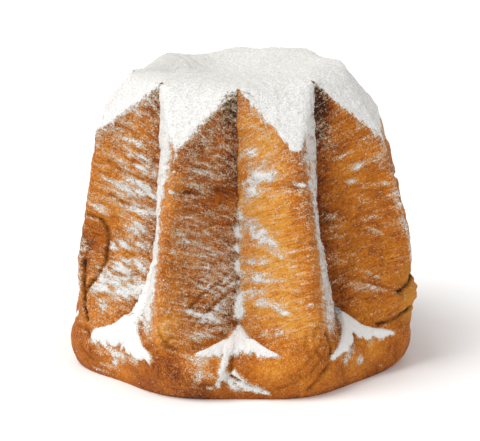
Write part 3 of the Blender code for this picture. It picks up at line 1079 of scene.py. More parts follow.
@dataclass(frozen=True)
class Dusting:
    """Where the sugar lies on the crust, as a weight: 0 is bare, and from about 0.9 it is closed."""

    upper_side_weight: float = 0.95
    halo_weight: float = 0.42
    halo_depth: float = 7.5
    # The flanks that face away, from the first up to and not at the second, and the drifts on each
    hidden_flanks: tuple[int, int] = (3, 13)
    hidden_drifts_per_flank: int = 7
    hidden_drifts_per_collar: int = 2
    hidden_slant: float = 0.45
    seed: int = 41
    closed: float = 1.35
    inner_crown_radius: float = 58 * MM
    # How the coat's lower edge frays, and over which heights it closes there, both in millimetres
    coat_fray: Waves = ((2.4 * MM, 4.0, 4.4), (6 * MM, 6.0, 2.4))
    coat_edge: tuple[float, float] = (-4.8, 3.0)
    pool_fray: Waves = ((5 * MM, 21.0, 1.0), (2.4 * MM, 22.0, 0.6))
    pool_sink: float = 1.5
    pool_weight: float = 1.5
    # Between which heights the collar gives way to the wall, in millimetres, and how much less sugar
    # the collar and its upper sides hold
    collar_top: tuple[float, float] = (12, 40)
    collar_share: float = 0.45
    collar_upper_share: float = 0.4
    cloudiness: float = 0.10
    drift_share: float = 0.9
    drift_raggedness: float = 1.1
    bareness: float = 0.8
    # The weight on each flank, starting with the one on the +X side of the front valley
    flank_weights: tuple[float, ...] = (
        0.19, 0.12, 0.05, 0.22, 0.18, 0.30, 0.16, 0.34, 0.20, 0.28, 0.16, 0.24, 0.20, 0.24, 0.12, 0.27,
    )
    ridge_weight: float = 0.20
    # Some flanks hold more sugar towards their valley
    strip_weights: tuple[float, ...] = (0, 0.72, 0, 0, 0, 0.5, 0, 0, 0, 0, 0, 0.5, 0, 0, 0.95, 0)
    strip_fray: float = 0.12
    strip_fill: float = 0.85
    strip_patchiness: float = 0.35
    thickest_drift: float = 0.70
    # How much further down each flank the coat of its facet runs, in millimetres
    spills: tuple[float, ...] = (0, 0, 0, 26, 30, 0, 0, 0, 0, 0, 0, 30, 26, 0, 0, -3.5)
    # How much of the halo below the coat there is on each flank
    halos: tuple[float, ...] = (0.55, 1, 1, 1, 1, 1, 0.8, 1, 0.8, 1, 0.8, 1, 1, 1.2, 1, 1)
    # How bare the notch at the top of each valley is, and its place and size in millimetres
    notches: tuple[float, ...] = (1.2, 1.2, 0.0, 0.4, 0.6, 0.3, 0.0, 1.2)
    notch_radius: float = 65.5
    notch_depth: float = 2.2
    notch_half_width: float = 1.3

    def drifts(self) -> tuple[Drift, ...]:
        """Scatters drifts over the flanks that face away, like those of the front.

        Returns:
            The placed drifts of the front, and then the scattered ones.
        """
        dice = random.Random(self.seed)
        scattered = []
        for flank in range(*self.hidden_flanks):
            start = flank * ARM_TURN / 2
            slant = self.hidden_slant if flank % 2 == 0 else -self.hidden_slant
            for _ in range(self.hidden_drifts_per_flank):
                turn = math.degrees(start + ARM_TURN / 2 * dice.uniform(0.12, 0.9))
                height = dice.uniform(45, 142)
                half_height = dice.uniform(1.5, 5.5)
                weight = dice.uniform(0.25, 0.5)
                scattered.append(Drift(turn, height, dice.uniform(4, 11), half_height, weight, slant))
            for _ in range(self.hidden_drifts_per_collar):
                turn = math.degrees(start + ARM_TURN / 2 * dice.uniform(0.0, 1.0))
                scattered.append(Drift(turn, dice.uniform(6, 27), dice.uniform(3, 8), 3.0, 0.42, 0.1))
        return FRONT_DRIFTS + tuple(scattered)

    def above_edge(self, spots: Spots) -> np.ndarray:
        """How far each spot is above the lower edge of its facet's coat, in millimetres."""
        spill = listed(self.spills, spots.half_arm)
        return spots.edge / MM + spill * step(1.05, 0.75, spots.share) * step(0.0, 0.15, spots.share)

    def notch(self, spots: Spots) -> np.ndarray:
        """The small bare notches in the crown's rim at the tops of the valleys.

        Args:
            spots: where on the crust.

        Returns:
            How bare each spot is, from 0 to about 1.
        """
        out = spots.share * spots.radius / MM * ARM_TURN / 2
        bare = listed(self.notches, np.rint(spots.turn / ARM_TURN))
        rim = hill(spots.radius / MM - self.notch_radius, self.notch_depth)
        return bare * hill(out, self.notch_half_width) * rim * (spots.zone >= Zone.FACET)

    def pools(self, spots: Spots, places: np.ndarray, ledge_heights: tuple[float, ...]) -> np.ndarray:
        """Works out where the sugar pools on the ledges.

        Args:
            spots: where on the crust.
            places: the same as points.
            ledge_heights: the heights of the ledges, in millimetres.

        Returns:
            The depth of the pools at each spot, from 0 to 1.
        """
        ledge = around(ledge_heights, spots.turn) / MM
        fray = ripples(places, self.pool_fray)
        depths = [pool.at(spots, ledge - self.pool_sink, fray) for pool in POOLS]
        return np.max(depths, axis=0) * (spots.zone == Zone.SIDE)

    def weights(
        self,
        spots: Spots,
        places: np.ndarray,
        lean: np.ndarray,
        pools: np.ndarray,
        bare: np.ndarray,
        flow: np.ndarray,
    ) -> np.ndarray:
        """Works out how much sugar lies on the crust.

        Args:
            spots: where on the crust.
            places: the same as points.
            lean: how much more the crust faces up there than its neighbourhood does.
            pools: the depth of the pools on the ledges.
            bare: how torn or cracked the crust is, since no sugar stays there.
            flow: places along the dough's flow, in wrinkles.

        Returns:
            The weight at each spot: 0 is bare, and from about 0.9 the coat is closed.
        """
        level = spots.level
        above = self.above_edge(spots)
        coat = step(*self.coat_edge, above + ripples(places, self.coat_fray)) * self.closed
        low = step(*self.collar_top, level)
        flank = listed(self.flank_weights, spots.half_arm)
        flank = mix(flank, self.ridge_weight, step(0.75, 1.0, spots.share))
        strip = listed(self.strip_weights, spots.half_arm) * step(28, 50, level)
        strip *= step(0.98, 0.62, spots.share + self.strip_fray * ripple(places, 4 * MM, 16.0))
        strip *= self.strip_fill + self.strip_patchiness * ripple(places, 2.2 * MM, 17.0)
        weight = (flank + strip) * mix(self.collar_share, 1.0, low)
        weight += self.cloudiness * ripple(places, 24 * MM, 11.0)
        weight += self.upper_side_weight * lean * mix(self.collar_upper_share, 1.0, low)
        halo = self.halo_weight * listed(self.halos, spots.half_arm)
        weight += halo * np.exp(np.minimum(above, 0.0) / self.halo_depth)
        drifts = self.drift_share * sum(drift.at(spots) for drift in self.drifts())
        ragged = 1 + self.drift_raggedness * ripple(flow, 1.0, 61.0)
        weight += np.minimum(drifts, self.thickest_drift) * ragged - self.bareness * bare
        weight += sum(trail.at(spots) for trail in TRAILS)
        weight = np.maximum(np.maximum(weight, pools * self.pool_weight), coat)
        weight -= self.notch(spots)
        inner = (spots.zone == Zone.CROWN) & (spots.radius < self.inner_crown_radius)
        weight = np.where(inner, self.closed, weight)
        return np.where(spots.zone == Zone.UNDERSIDE, 0.0, np.maximum(weight, 0.0))


# ---------------------------------------------------------------------------------------------------
# Materials
# ---------------------------------------------------------------------------------------------------


def feed(node: bpy.types.Node, settings: dict[str | int, object]) -> None:
    """Sets a node's properties and sockets.

    Args:
        node: the node.
        settings: its properties, or its input sockets by name or number, each with a value or with
            another node's output, which is then linked to it.
    """
    for name, value in settings.items():
        if isinstance(value, Socket):
            node.id_data.links.new(value, node.inputs[name])
        elif isinstance(name, str) and hasattr(node, name):
            setattr(node, name, value)
        else:
            node.inputs[name].default_value = value


def add_node(
    tree: bpy.types.NodeTree, kind: str, settings: dict[str | int, object], output: str | int = 0
) -> Socket:
    """Adds one node to a tree, with its settings and links.

    Args:
        tree: the material's node tree.
        kind: the node's type, such as "ShaderNodeMath".
        settings: what to set and to link, as feed takes it.
        output: which of its outputs is wanted.

    Returns:
        That output.
    """
    node = tree.nodes.new(kind)
    feed(node, settings)
    return node.outputs[output]


def start_material(name: str) -> tuple[bpy.types.Material, bpy.types.Node, Socket]:
    """Starts a material.

    Args:
        name: what the real one is.

    Returns:
        The material, its shader, and the place on the object as a vector.
    """
    material = bpy.data.materials.new(name)
    material.use_nodes = True
    tree = material.node_tree
    return material, tree.nodes["Principled BSDF"], add_node(tree, "ShaderNodeTexCoord", {}, "Object")


@dataclass(frozen=True)
class DustedCrust:
    """Golden-brown crust of an egg-and-butter dough, browned against a metal mould, under dry sugar.

    It gives the eye a soft satin surface with fine pores, mottled from gold to chestnut, that white
    powder hides grain by grain along the dough's wrinkles and then altogether.
    """

    dark: str = "#46200A"
    chestnut: str = "#884110"
    amber: str = "#B2631A"
    gold: str = "#CD7B21"
    pale: str = "#DF9A3A"
    # The colour of the painted shade in cracks, folds, the tops of the valleys and the rim's notches
    crack: str = "#2A1006"
    crumb: str = "#D0913C"
    sugar: str = "#F3F2F0"
    sugar_shade: str = "#D9D8D3"
    grains: str = "#F0D2A6"
    roughness: float = 0.75
    sheen_level: float = 0.2
    powder_roughness: float = 0.95
    # Real pores are about 0.3 mm wide; they are drawn at 0.9 mm to show at all
    pore_size: float = 0.9 * MM
    mottle_size: float = 12 * MM
    fleck_size: float = 2.4 * MM
    # Sugar grains are 0.05 mm; what shows is where they lie in clumps
    grain_size: float = 0.85 * MM
    clump_size: float = 2.295 * MM
    powder_size: float = 1.4 * MM
    # Along the dough's flow and across it
    streak_size: tuple[float, float] = (9 * MM, 1.5 * MM)
    fold_size: tuple[float, float] = (13 * MM, 4.2 * MM)
    fold_width: float = 0.045
    # How much each pattern turns the crust golden, adds to the sugar's weight, and stands out
    gilding: tuple[tuple[str, float], ...] = (
        # The fold lines' negative weight darkens the crust along the wrinkles, as painted shade
        ("mottle", 0.7), ("fleck", 0.6), ("pore", 0.8), ("streak", 0.4), ("fold", -0.13),
    )
    gilding_offset: float = -0.5
    catching: tuple[tuple[str, float], ...] = (
        ("grain", 1.2), ("clump", 0.7), ("streak", 0.7), ("fold", 0.2),
    )
    standing_out: tuple[tuple[str, float], ...] = (
        ("pore", 0.6), ("streak", 0.6), ("cover", 0.7), ("powder", 1.3), ("fold", -0.5),
    )
    # Between which weights the coat closes, and between which single grains gather to a haze
    closing: tuple[float, float] = (1.45, 1.66)
    hazing: tuple[float, float] = (1.16, 1.46)
    haze_strength: float = 0.46
    # How well even a closed coat hides the crust: at no weight, and more with each unit of weight
    thin_cover: float = 0.52
    cover_gain: float = 0.70
    roughness_shade: float = -0.36
    shade_range: tuple[float, float] = (0.3, 0.6)
    relief: float = 0.9 * MM

    def make(self) -> bpy.types.Material:
        """Builds the material.

        Returns:
            The crust with its sugar, which reads the attributes that Bread.paint writes.
        """
        material, shader, place = start_material("golden_crust_with_icing_sugar")
        tree = material.node_tree
        found = self.patterns(tree, place)
        found["cover"], haze = self.cover(tree, found)
        crust = self.crust_colour(tree, found)
        settings = {"data_type": "RGBA", 0: haze, 6: crust, 7: linear(self.grains)}
        hazed = add_node(tree, "ShaderNodeMix", settings, 2)
        settings = {"data_type": "RGBA", 0: found["cover"], 6: hazed, 7: self.sugar_colour(tree, found)}
        colour = add_node(tree, "ShaderNodeMix", settings, 2)
        gain = self.powder_roughness - self.roughness
        settings = {"operation": "MULTIPLY_ADD", 0: found["cover"], 1: gain, 2: self.roughness}
        roughness = add_node(tree, "ShaderNodeMath", settings)
        height = self.laid_over(tree, found, 0.0, self.standing_out)
        settings = {"Strength": 0.9, "Distance": self.relief, "Height": height}
        normal = add_node(tree, "ShaderNodeBump", settings)
        feed(shader, {"Base Color": colour, "Roughness": roughness, "Normal": normal})
        feed(shader, {"Specular IOR Level": self.sheen_level})
        return material

    def patterns(self, tree: bpy.types.NodeTree, place: Socket) -> dict[str, Socket]:
        """Adds the patterns that the finish is made of.

        Args:
            tree: the material's node tree.
            place: the place on the object.

        Returns:
            Each pattern by its name: the bread's attributes, noises, and the streaks and folds that
            follow the dough's flow on the walls.
        """
        found = {}
        for name in ("sugar", "tone", "crack", "crumb", "wall", "rough"):
            found[name] = add_node(tree, "ShaderNodeAttribute", {"attribute_name": name}, "Fac")
        noises = (
            ("pore", self.pore_size, 1),
            ("grain", self.grain_size, 1),
            ("clump", self.clump_size, 2),
            ("mottle", self.mottle_size, 3),
            ("fleck", self.fleck_size, 2),
            ("powder", self.powder_size, 3),
        )
        for name, size, detail in noises:
            settings = {"Vector": place, "Scale": 1 / size, "Detail": detail, "Roughness": 0.6}
            found[name] = add_node(tree, "ShaderNodeTexNoise", settings)
        streak = self.along_flow(tree, self.streak_size, 2.5)
        fold = self.along_flow(tree, self.fold_size, 1)
        off = add_node(tree, "ShaderNodeMath", {"operation": "ABSOLUTE", 0: fold})
        settings = {"interpolation_type": "SMOOTHSTEP", "Value": off}
        settings |= {"From Min": self.fold_width, "From Max": 0.0}
        line = add_node(tree, "ShaderNodeMapRange", settings)
        for name, pattern in (("streak", streak), ("fold", line)):
            settings = {"operation": "MULTIPLY", 0: pattern, 1: found["wall"]}
            found[name] = add_node(tree, "ShaderNodeMath", settings)
        return found

    @staticmethod
    def along_flow(tree: bpy.types.NodeTree, size: tuple[float, float], detail: float) -> Socket:
        """Adds a noise that is drawn out along the dough's flow.

        Args:
            tree: the material's node tree.
            size: the size of its swells along the flow and across it, in metres.
            detail: how fine it goes.

        Returns:
            The noise, about 0.
        """
        flow = add_node(tree, "ShaderNodeAttribute", {"attribute_name": "flow"}, "Vector")
        settings = {"operation": "MULTIPLY", 0: flow, 1: (1 / size[0], 1 / size[1], 10.0)}
        drawn_out = add_node(tree, "ShaderNodeVectorMath", settings)
        settings = {"Vector": drawn_out, "Scale": 1.0, "Detail": detail, "Roughness": 0.6}
        swells = add_node(tree, "ShaderNodeTexNoise", settings)
        return add_node(tree, "ShaderNodeMath", {"operation": "SUBTRACT", 0: swells, 1: 0.5})

    @staticmethod
    def laid_over(
        tree: bpy.types.NodeTree,
        found: dict[str, Socket],
        start: float | Socket,
        weights: tuple[tuple[str, float], ...],
    ) -> Socket:
        """Lays patterns over each other.

        Args:
            tree: the material's node tree.
            found: each pattern by its name.
            start: what they are laid on.
            weights: the name and the weight of each pattern to lay on.

        Returns:
            The sum.
        """
        for name, weight in weights:
            settings = {"operation": "MULTIPLY_ADD", 0: found[name], 1: weight, 2: start}
            start = add_node(tree, "ShaderNodeMath", settings)
        return start

    def crust_colour(self, tree: bpy.types.NodeTree, found: dict[str, Socket]) -> Socket:
        """Colours the crust itself: mottled and pored, with painted shade in cracks, folds and valley
        tops, and pale where it is torn.

        Args:
            tree: the material's node tree.
            found: each pattern by its name.

        Returns:
            The crust's colour.
        """
        tone = self.laid_over(tree, found, found["tone"], self.gilding)
        share = add_node(tree, "ShaderNodeMath", {"operation": "ADD", 0: tone, 1: self.gilding_offset})
        browned = add_node(tree, "ShaderNodeValToRGB", {"Fac": share})
        band = browned.node.color_ramp
        colours = (self.dark, self.chestnut, self.amber, self.gold, self.pale)
        while len(band.elements) < len(colours):
            band.elements.new(0.5)
        for number, (element, colour) in enumerate(zip(band.elements, colours, strict=True)):
            element.position = number / (len(colours) - 1)
            element.color = linear(colour)
        # Lays on the pale torn crumb, and then the painted shade of cracks, folds and valley tops
        for name, colour in (("crumb", self.crumb), ("crack", self.crack)):
            settings = {"data_type": "RGBA", 0: found[name], 6: browned, 7: linear(colour)}
            browned = add_node(tree, "ShaderNodeMix", settings, 2)
        return browned

    def sugar_colour(self, tree: bpy.types.NodeTree, found: dict[str, Socket]) -> Socket:
        """Colours the closed coat of sugar, which is greyer where it is rough: partly thinner sugar,
        partly painted shade of its lumps.

        Args:
            tree: the material's node tree.
            found: each pattern by its name.

        Returns:
            The sugar's colour.
        """
        settled = self.laid_over(tree, found, found["powder"], (("rough", self.roughness_shade),))
        settings = {"interpolation_type": "SMOOTHSTEP", "Value": settled}
        settings |= {"From Min": self.shade_range[0], "From Max": self.shade_range[1]}
        share = add_node(tree, "ShaderNodeMapRange", settings)
        settings = {"data_type": "RGBA", 0: share, 6: linear(self.sugar_shade), 7: linear(self.sugar)}
        return add_node(tree, "ShaderNodeMix", settings, 2)

    def cover(self, tree: bpy.types.NodeTree, found: dict[str, Socket]) -> tuple[Socket, Socket]:
        """Works out how much of the crust the sugar hides.

        Args:
            tree: the material's node tree.
            found: each pattern by its name.

        Returns:
            The share that the closed coat hides, and then the share that the haze of grains hides.
        """
        level = self.laid_over(tree, found, found["sugar"], self.catching)
        shares = []
        for low, high in (self.closing, self.hazing):
            settings = {"interpolation_type": "SMOOTHSTEP", "Value": level}
            settings |= {"From Min": low, "From Max": high}
            shares.append(add_node(tree, "ShaderNodeMapRange", settings))
        settings = {"operation": "MULTIPLY_ADD", "use_clamp": True, 0: found["sugar"]}
        settings |= {1: self.cover_gain, 2: self.thin_cover}
        hiding = add_node(tree, "ShaderNodeMath", settings)
        closed = add_node(tree, "ShaderNodeMath", {"operation": "MULTIPLY", 0: shares[0], 1: hiding})
        settings = {"operation": "MULTIPLY", 0: shares[1], 1: self.haze_strength}
        return closed, add_node(tree, "ShaderNodeMath", settings)


@dataclass(frozen=True)
class IcingSugar:
    """Icing sugar in small loose clumps: dry, matte and nearly white, so it gives the eye no gloss."""

    colour: str = "#E9E8E5"
    shade: str = "#DDDBD6"
    roughness: float = 0.95
    grain_size: float = 0.6 * MM
    relief: float = 0.3 * MM

    def make(self) -> bpy.types.Material:
        """Builds the material.

        Returns:
            The sugar, finely speckled.
        """
        material, shader, place = start_material("icing_sugar_clumps")
        tree = material.node_tree
        settings = {"Vector": place, "Scale": 1 / self.grain_size, "Detail": 2.0}
        powder = add_node(tree, "ShaderNodeTexNoise", settings)
        settings = {"data_type": "RGBA", 0: powder, 6: linear(self.shade), 7: linear(self.colour)}
        colour = add_node(tree, "ShaderNodeMix", settings, 2)
        settings = {"Strength": 0.6, "Distance": self.relief, "Height": powder}
        normal = add_node(tree, "ShaderNodeBump", settings)
        feed(shader, {"Base Color": colour, "Roughness": self.roughness, "Normal": normal})
        return material


@dataclass(frozen=True)
class StudioSweep:
    """Matte white sweep paper, so it gives the eye nothing but the bread's shadow."""

    colour: str = "#F8F8F8"
    roughness: float = 0.9
    glow: float = 0.06
    tooth_size: float = 2.5 * MM
    relief: float = 0.1 * MM

    def make(self) -> bpy.types.Material:
        """Builds the material.

        Returns:
            The paper, with a faint tooth.
        """
        material, shader, place = start_material("white_sweep_paper")
        tree = material.node_tree
        settings = {"Vector": place, "Scale": 1 / self.tooth_size}
        tooth = add_node(tree, "ShaderNodeTexNoise", settings)
        settings = {"Strength": 0.02, "Distance": self.relief, "Height": tooth}
        normal = add_node(tree, "ShaderNodeBump", settings)
        feed(shader, {"Base Color": linear(self.colour), "Roughness": self.roughness, "Normal": normal})
        feed(shader, {"Emission Color": linear("#FFFFFF"), "Emission Strength": self.glow})
        return material


# ---------------------------------------------------------------------------------------------------
# The pieces
# ---------------------------------------------------------------------------------------------------


def new_piece(
    name: str, shape: bmesh.types.BMesh, material: bpy.types.Material
) -> bpy.types.Object:
    """Turns a finished bmesh into a piece at the origin that stands for the bread.

    Args:
        name: the piece's name.
        shape: its mesh, in place; it is freed.
        material: its finish.

    Returns:
        The new object.
    """
    data = bpy.data.meshes.new(name)
    shape.to_mesh(data)
    shape.free()
    data.shade_smooth()
    piece = bpy.data.objects.new(name, data)
    piece.data.materials.append(material)
    bpy.context.scene.collection.objects.link(piece)
    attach(piece, "root")
    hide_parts("pandoro")
    log.info("%s: %d vertices, %d faces", name, len(data.vertices), len(data.polygons))
    return piece


# Golden spots of the crust, or with a negative weight brown ones: the turn in degrees, the height in
# millimetres, the weight, and the size in millimetres
GOLD_SPOTS = (
    (-25, 44, 0.30, 9),
    (9, 20, 0.40, 8),
    (-13, 22, 0.20, 7),
    (-45, 10, 0.22, 12),
    (52, 22, 0.25, 9),
    (24, 60, 0.10, 22),
    (-62, 15, 0.06, 12),
    (-65, 80, -0.24, 14),
    (-12, 5, -0.15, 14),
    (-23, 18, -0.15, 12),
    (15, 12, 0.15, 12),
    (41, 28, -0.35, 6),
    (-54, 62, 0.18, 14),
    (12, 100, 0.17, 26),
    (8, 150, 0.08, 14),
    (22, 45, 0.16, 16),
    (12, 60, 0.08, 16),
    (22, 16, 0.14, 16),
    (44, 10, 0.16, 14),
    (-8, 46, -0.12, 14),
    (2, 112, 0.18, 12),
    (110, 20, 0.30, 9),
    (150, 30, 0.25, 10),
    (-160, 24, 0.30, 10),
    (-110, 30, 0.25, 9),
    (135, 10, -0.25, 12),
    (-90, 12, -0.25, 12),
)


@dataclass
class Bread:
    """The pandoro itself: its crust, with the sugar that lies on it."""

    outline: Outline = field(default_factory=Outline)
    relief: Relief = field(default_factory=Relief)
    dusting: Dusting = field(default_factory=Dusting)
    columns: int = 512
    front_crowding: float = 0.9
    # From which turn to which the crowding of the columns fades out, and the steps it is worked out in
    crowding_fade: tuple[float, float] = (1.35, 1.9)
    crowding_steps: int = 3601
    lean: tuple[float, float] = (-1.5 * MM, 0.0)
    patch_depth: float = 0.45 * MM
    pool_depth: float = 1.6 * MM
    pile_depth: float = 3.6 * MM
    pile_width: float = 6.5 * MM
    trail_depth: float = 0.9 * MM
    # The ripples that break up the drifts: along the dough's flow, across it, and from ridge to ridge
    ripple_size: tuple[float, float, float] = (6.5 * MM, 2.8 * MM, 0.1)
    neighbourhood: int = 6
    # Between which heights the flanks take on tones of their own, in millimetres
    wall_fade: tuple[float, float] = (30, 50)
    # How much more painted shade the tops of the valleys get
    valley_top_shade_gain: float = 1.2
    # How much browner the crust is below the facets and on the collar, and how much darker it is at the
    # table
    top_browning: float = 0.10
    collar_browning: float = 0.06
    foot_darkening: float = 0.08
    cloudiness: float = 0.14
    # How much painted shade the tops of the valleys get, for each unit that the valley is darker
    apex_shade_gain: float = -1.35
    crack_hiding: float = 0.7
    # How much painted shade the rim's bare notches get
    notch_shade: float = 0.8
    crumb_paleness: float = 0.8
    # How rough, and so how grey, the sugar is on the facets and on the crown: partly thinner sugar, partly
    # painted shade of its lumps
    sugar_shade_levels: tuple[float, float] = (-0.02, 0.26)
    # How much whiter the sugar is in the pools: partly thick sugar, partly painted light on faces turned
    # away from the key light
    pool_whiteness_and_light: float = 1.2
    # How brown or golden each flank is, in the same order as the sugar's weights
    flank_tones: tuple[float, ...] = (
        0.25, 0, 0.06, 0, 0.05, 0, -0.1, 0, 0.05, 0, 0, -0.1, 0, 0.08, 0, -0.12,
    )
    # How much darker each flank is towards its valley, in the same order: partly browner crust, partly
    # painted shade in the valley
    valley_shade_tones: tuple[float, ...] = (
        -0.04, -0.2, -0.38, -0.2, -0.3, -0.2, -0.2, -0.2, -0.3, -0.2, -0.3, -0.2, -0.2, -0.26, -0.2, -0.28,
    )
    spots: Spots | None = None
    grid: np.ndarray | None = None
    sugar: np.ndarray | None = None
    pools: np.ndarray | None = None
    places: np.ndarray | None = None
    normals: np.ndarray | None = None

    def lay_out(self, shape: bmesh.types.BMesh) -> None:
        """Moves the vertices of a unit sphere, column by column, onto the bread's outline.

        Args:
            shape: an empty bmesh, which the bread is built in.
        """
        rows = self.outline.rows
        bmesh.ops.create_uvsphere(shape, u_segments=self.columns, v_segments=rows + 1, radius=1.0)
        drawn = self.outline.draw(self.column_turns())
        sphere = np.array([vertex.co for vertex in shape.verts])
        latitude = np.arcsin(np.clip(sphere[:, 2], -1, 1)) / math.pi
        row = np.rint((latitude + 0.5) * (rows + 1)).astype(int) - 1
        longitude = np.arctan2(sphere[:, 0], -sphere[:, 1]) / math.tau
        column = np.rint(longitude * self.columns).astype(int) % self.columns
        poles = (row < 0) | (row >= rows)
        row = np.clip(row, 0, rows - 1)
        self.spots = drawn.pick(row * self.columns + column)
        self.spots.zone = np.where(poles, Zone.POLE, self.spots.zone)
        self.spots.radius = np.where(poles, 0.0, self.spots.radius)
        pole_height = np.where(sphere[:, 2] > 0, self.outline.star.height, 0.0)
        self.spots.height = np.where(poles, pole_height, self.spots.height)
        self.grid = np.zeros((rows, self.columns), dtype=int)
        self.grid[row[~poles], column[~poles]] = np.flatnonzero(~poles)
        self.places = self.spots.places()

    def column_turns(self) -> np.ndarray:
        """Spaces the columns, which stand closer at the front, where the small lines are.

        Returns:
            The turn of each column, from 0 to a full turn.
        """
        turn = np.linspace(-math.pi, math.pi, self.crowding_steps)
        density = 1 + self.front_crowding * step(*reversed(self.crowding_fade), np.abs(turn))
        passed = np.concatenate(([0.0], np.cumsum(density[:-1])))
        return np.interp(np.arange(self.columns) / self.columns * passed[-1], passed, turn) % math.tau

    def move(self, shape: bmesh.types.BMesh) -> None:
        """Puts the vertices at the places worked out so far, and reads their normals.

        Args:
            shape: the bread's bmesh.
        """
        for vertex, place in zip(shape.verts, self.places.tolist(), strict=True):
            vertex.co = place
        shape.normal_update()
        self.normals = np.array([vertex.normal for vertex in shape.verts])

    def press(self, shape: bmesh.types.BMesh) -> None:
        """Gives the smooth form the relief that the solid has, and the fine relief that it has not.

        Args:
            shape: the bread's bmesh.
        """
        self.move(shape)
        spots, places, star = self.spots, self.places, self.outline.star
        upright = 1 - np.abs(self.normals[:, 2])
        out = self.relief.coarse(spots, places, upright) * ease(spots.height / star.collar_widest_height)
        out += self.relief.fine(spots, places, upright) * ease(spots.height / (3 * MM))
        out *= (spots.zone > Zone.UNDERSIDE) & (spots.height > 0)
        drop = self.relief.crown_drop(places, star.crown_apothem)
        drop *= step(0.9, 1.0, spots.height / star.height)
        moved = places + self.normals * out[:, None]
        sideways = np.stack((np.cos(spots.turn), np.sin(spots.turn), 0 * out), axis=1)
        moved += self.wobble()[:, None] * sideways
        moved[:, 2] -= np.where(spots.height > 0, drop, 0.0)
        moved[:, :2] += np.outer(moved[:, 2] / star.height, self.lean)
        self.places = moved
        self.move(shape)

    def wobble(self) -> np.ndarray:
        """Makes the valleys' lines waver.

        Returns:
            How far each spot is moved sideways, in metres.
        """
        spots = self.spots
        valley = np.rint(spots.turn / ARM_TURN) % ARMS
        across = valley * self.relief.valley_apart
        wave = 0.0
        for size, seed, strength in self.relief.wobble_waves:
            points = np.stack((spots.height / size, across, 0 * valley + seed), axis=1)
            wave = wave + strength * noise_at(points)
        near = np.maximum(1 - spots.share, 0.0) ** 2
        near *= step(45, 60, spots.level) * step(0.0, -12.0, spots.edge / MM)
        return wave * near * self.relief.wobble

    def dust(self, shape: bmesh.types.BMesh) -> None:
        """Works out the sugar's weight at each vertex, and raises the crust by the sugar's depth there.

        Args:
            shape: the bread's bmesh.
        """
        lean = self.normals[:, 2] - self.smoothed(self.normals[:, 2])
        self.pools = self.dusting.pools(self.spots, self.places, self.outline.star.ledge_heights)
        bare = np.maximum(cracked(self.spots), self.relief.torn(self.spots))
        flow = self.relief.flow(self.spots) / self.ripple_size
        self.sugar = self.dusting.weights(self.spots, self.places, lean, self.pools, bare, flow)
        thick = self.patch_depth * step(0.35, 1.0, self.sugar) * self.spots.walled
        thick += self.trail_depth * np.minimum(sum(trail.at(self.spots) for trail in TRAILS), 1.0)
        above_ledge = self.spots.height - around(self.outline.star.ledge_heights, self.spots.turn)
        pile = self.pool_depth + self.pile_depth * hill(above_ledge, self.pile_width)
        thick = (thick + pile * self.pools) * ease(self.spots.height / (4 * MM))
        self.places = self.places + self.normals * thick[:, None]
        self.move(shape)

    def smoothed(self, values: np.ndarray) -> np.ndarray:
        """Averages a value over each vertex's neighbourhood on the grid of rows and columns.

        Args:
            values: one value for each vertex.

        Returns:
            The averages, one for each vertex.
        """
        grid = values[self.grid]
        for _ in range(self.neighbourhood):
            up = np.vstack((grid[1:], grid[-1:]))
            down = np.vstack((grid[:1], grid[:-1]))
            grid = (grid + np.roll(grid, 1, axis=1) + np.roll(grid, -1, axis=1) + up + down) / 5
        spread = values.copy()
        spread[self.grid] = grid
        return spread

    def tone(self) -> np.ndarray:
        """Works out how the crust is browned, with painted shade towards the valleys and at their tops.

        Returns:
            The tone at each spot: brown below 0, and golden above it.
        """
        spots = self.spots
        level = spots.level
        above = spots.edge / MM
        wall = step(*self.wall_fade, level)
        # Painted shade, over a browner crust, towards the valleys and more at their tops
        valley = listed(self.valley_shade_tones, spots.half_arm) * wall
        tone = listed(self.flank_tones, spots.half_arm) * wall * step(1.0, 0.7, spots.share)
        tone += valley * step(0.45, 0.0, spots.share)
        valley_top = step(0.55, 0.0, spots.share) * step(-45, -4, above)
        tone += self.valley_top_shade_gain * valley * valley_top
        tone -= self.top_browning * step(-22, -3, above)
        tone += self.cloudiness * ripple(self.places, 30 * MM, 31.0)
        tone -= self.collar_browning * step(40, 28, level) + self.foot_darkening * step(6, 1, level)
        for turn, height, weight, size in GOLD_SPOTS:
            away = np.hypot(aside(spots.turn, turn, spots.radius), level - height)
            tone += weight * hill(away, size)
        return tone

    def paint(self, piece: bpy.types.Object) -> None:
        """Writes the attributes that the crust's material reads.

        Args:
            piece: the bread.
        """
        spots = self.spots
        walls = spots.zone == Zone.SIDE
        # Painted shade at the tops of the valleys, in the cracks and folds, and in the rim's notches
        apex_shade = self.apex_shade_gain * listed(self.valley_shade_tones, spots.half_arm)
        apex_shade *= step(-28, -4, spots.edge / MM) * step(0.30, 0.0, spots.share)
        dark = np.maximum(cracked(spots) * self.relief.ragged(self.places), apex_shade) * walls
        dark *= 1 - self.crack_hiding * step(0.6, 1.1, self.sugar)
        dark = np.maximum(dark, self.notch_shade * self.dusting.notch(spots))
        # The sugar's greyness: painted shade on the level crown and its rough left part, partly thinner
        # sugar there
        rough = mix(*self.sugar_shade_levels, step(0.72, 0.98, self.smoothed(self.normals[:, 2])))
        layers = {
            "sugar": self.sugar,
            "tone": self.tone() * walls,
            # Greyer sugar where rough, with painted shade, and whiter sugar in the pools, partly as
            # painted light
            "rough": rough + self.relief.rough(self.places) - self.pool_whiteness_and_light * self.pools,
            "crack": dark,
            "crumb": self.crumb_paleness * self.relief.torn(spots),
            "wall": walls * step(18, 45, spots.level) * step(1.1, 0.75, self.sugar),
        }
        for name, values in layers.items():
            attribute = piece.data.attributes.new(name, "FLOAT", "POINT")
            attribute.data.foreach_set("value", values.astype(np.float32))
        attribute = piece.data.attributes.new("flow", "FLOAT_VECTOR", "POINT")
        attribute.data.foreach_set("vector", self.relief.flow(spots).astype(np.float32).ravel())

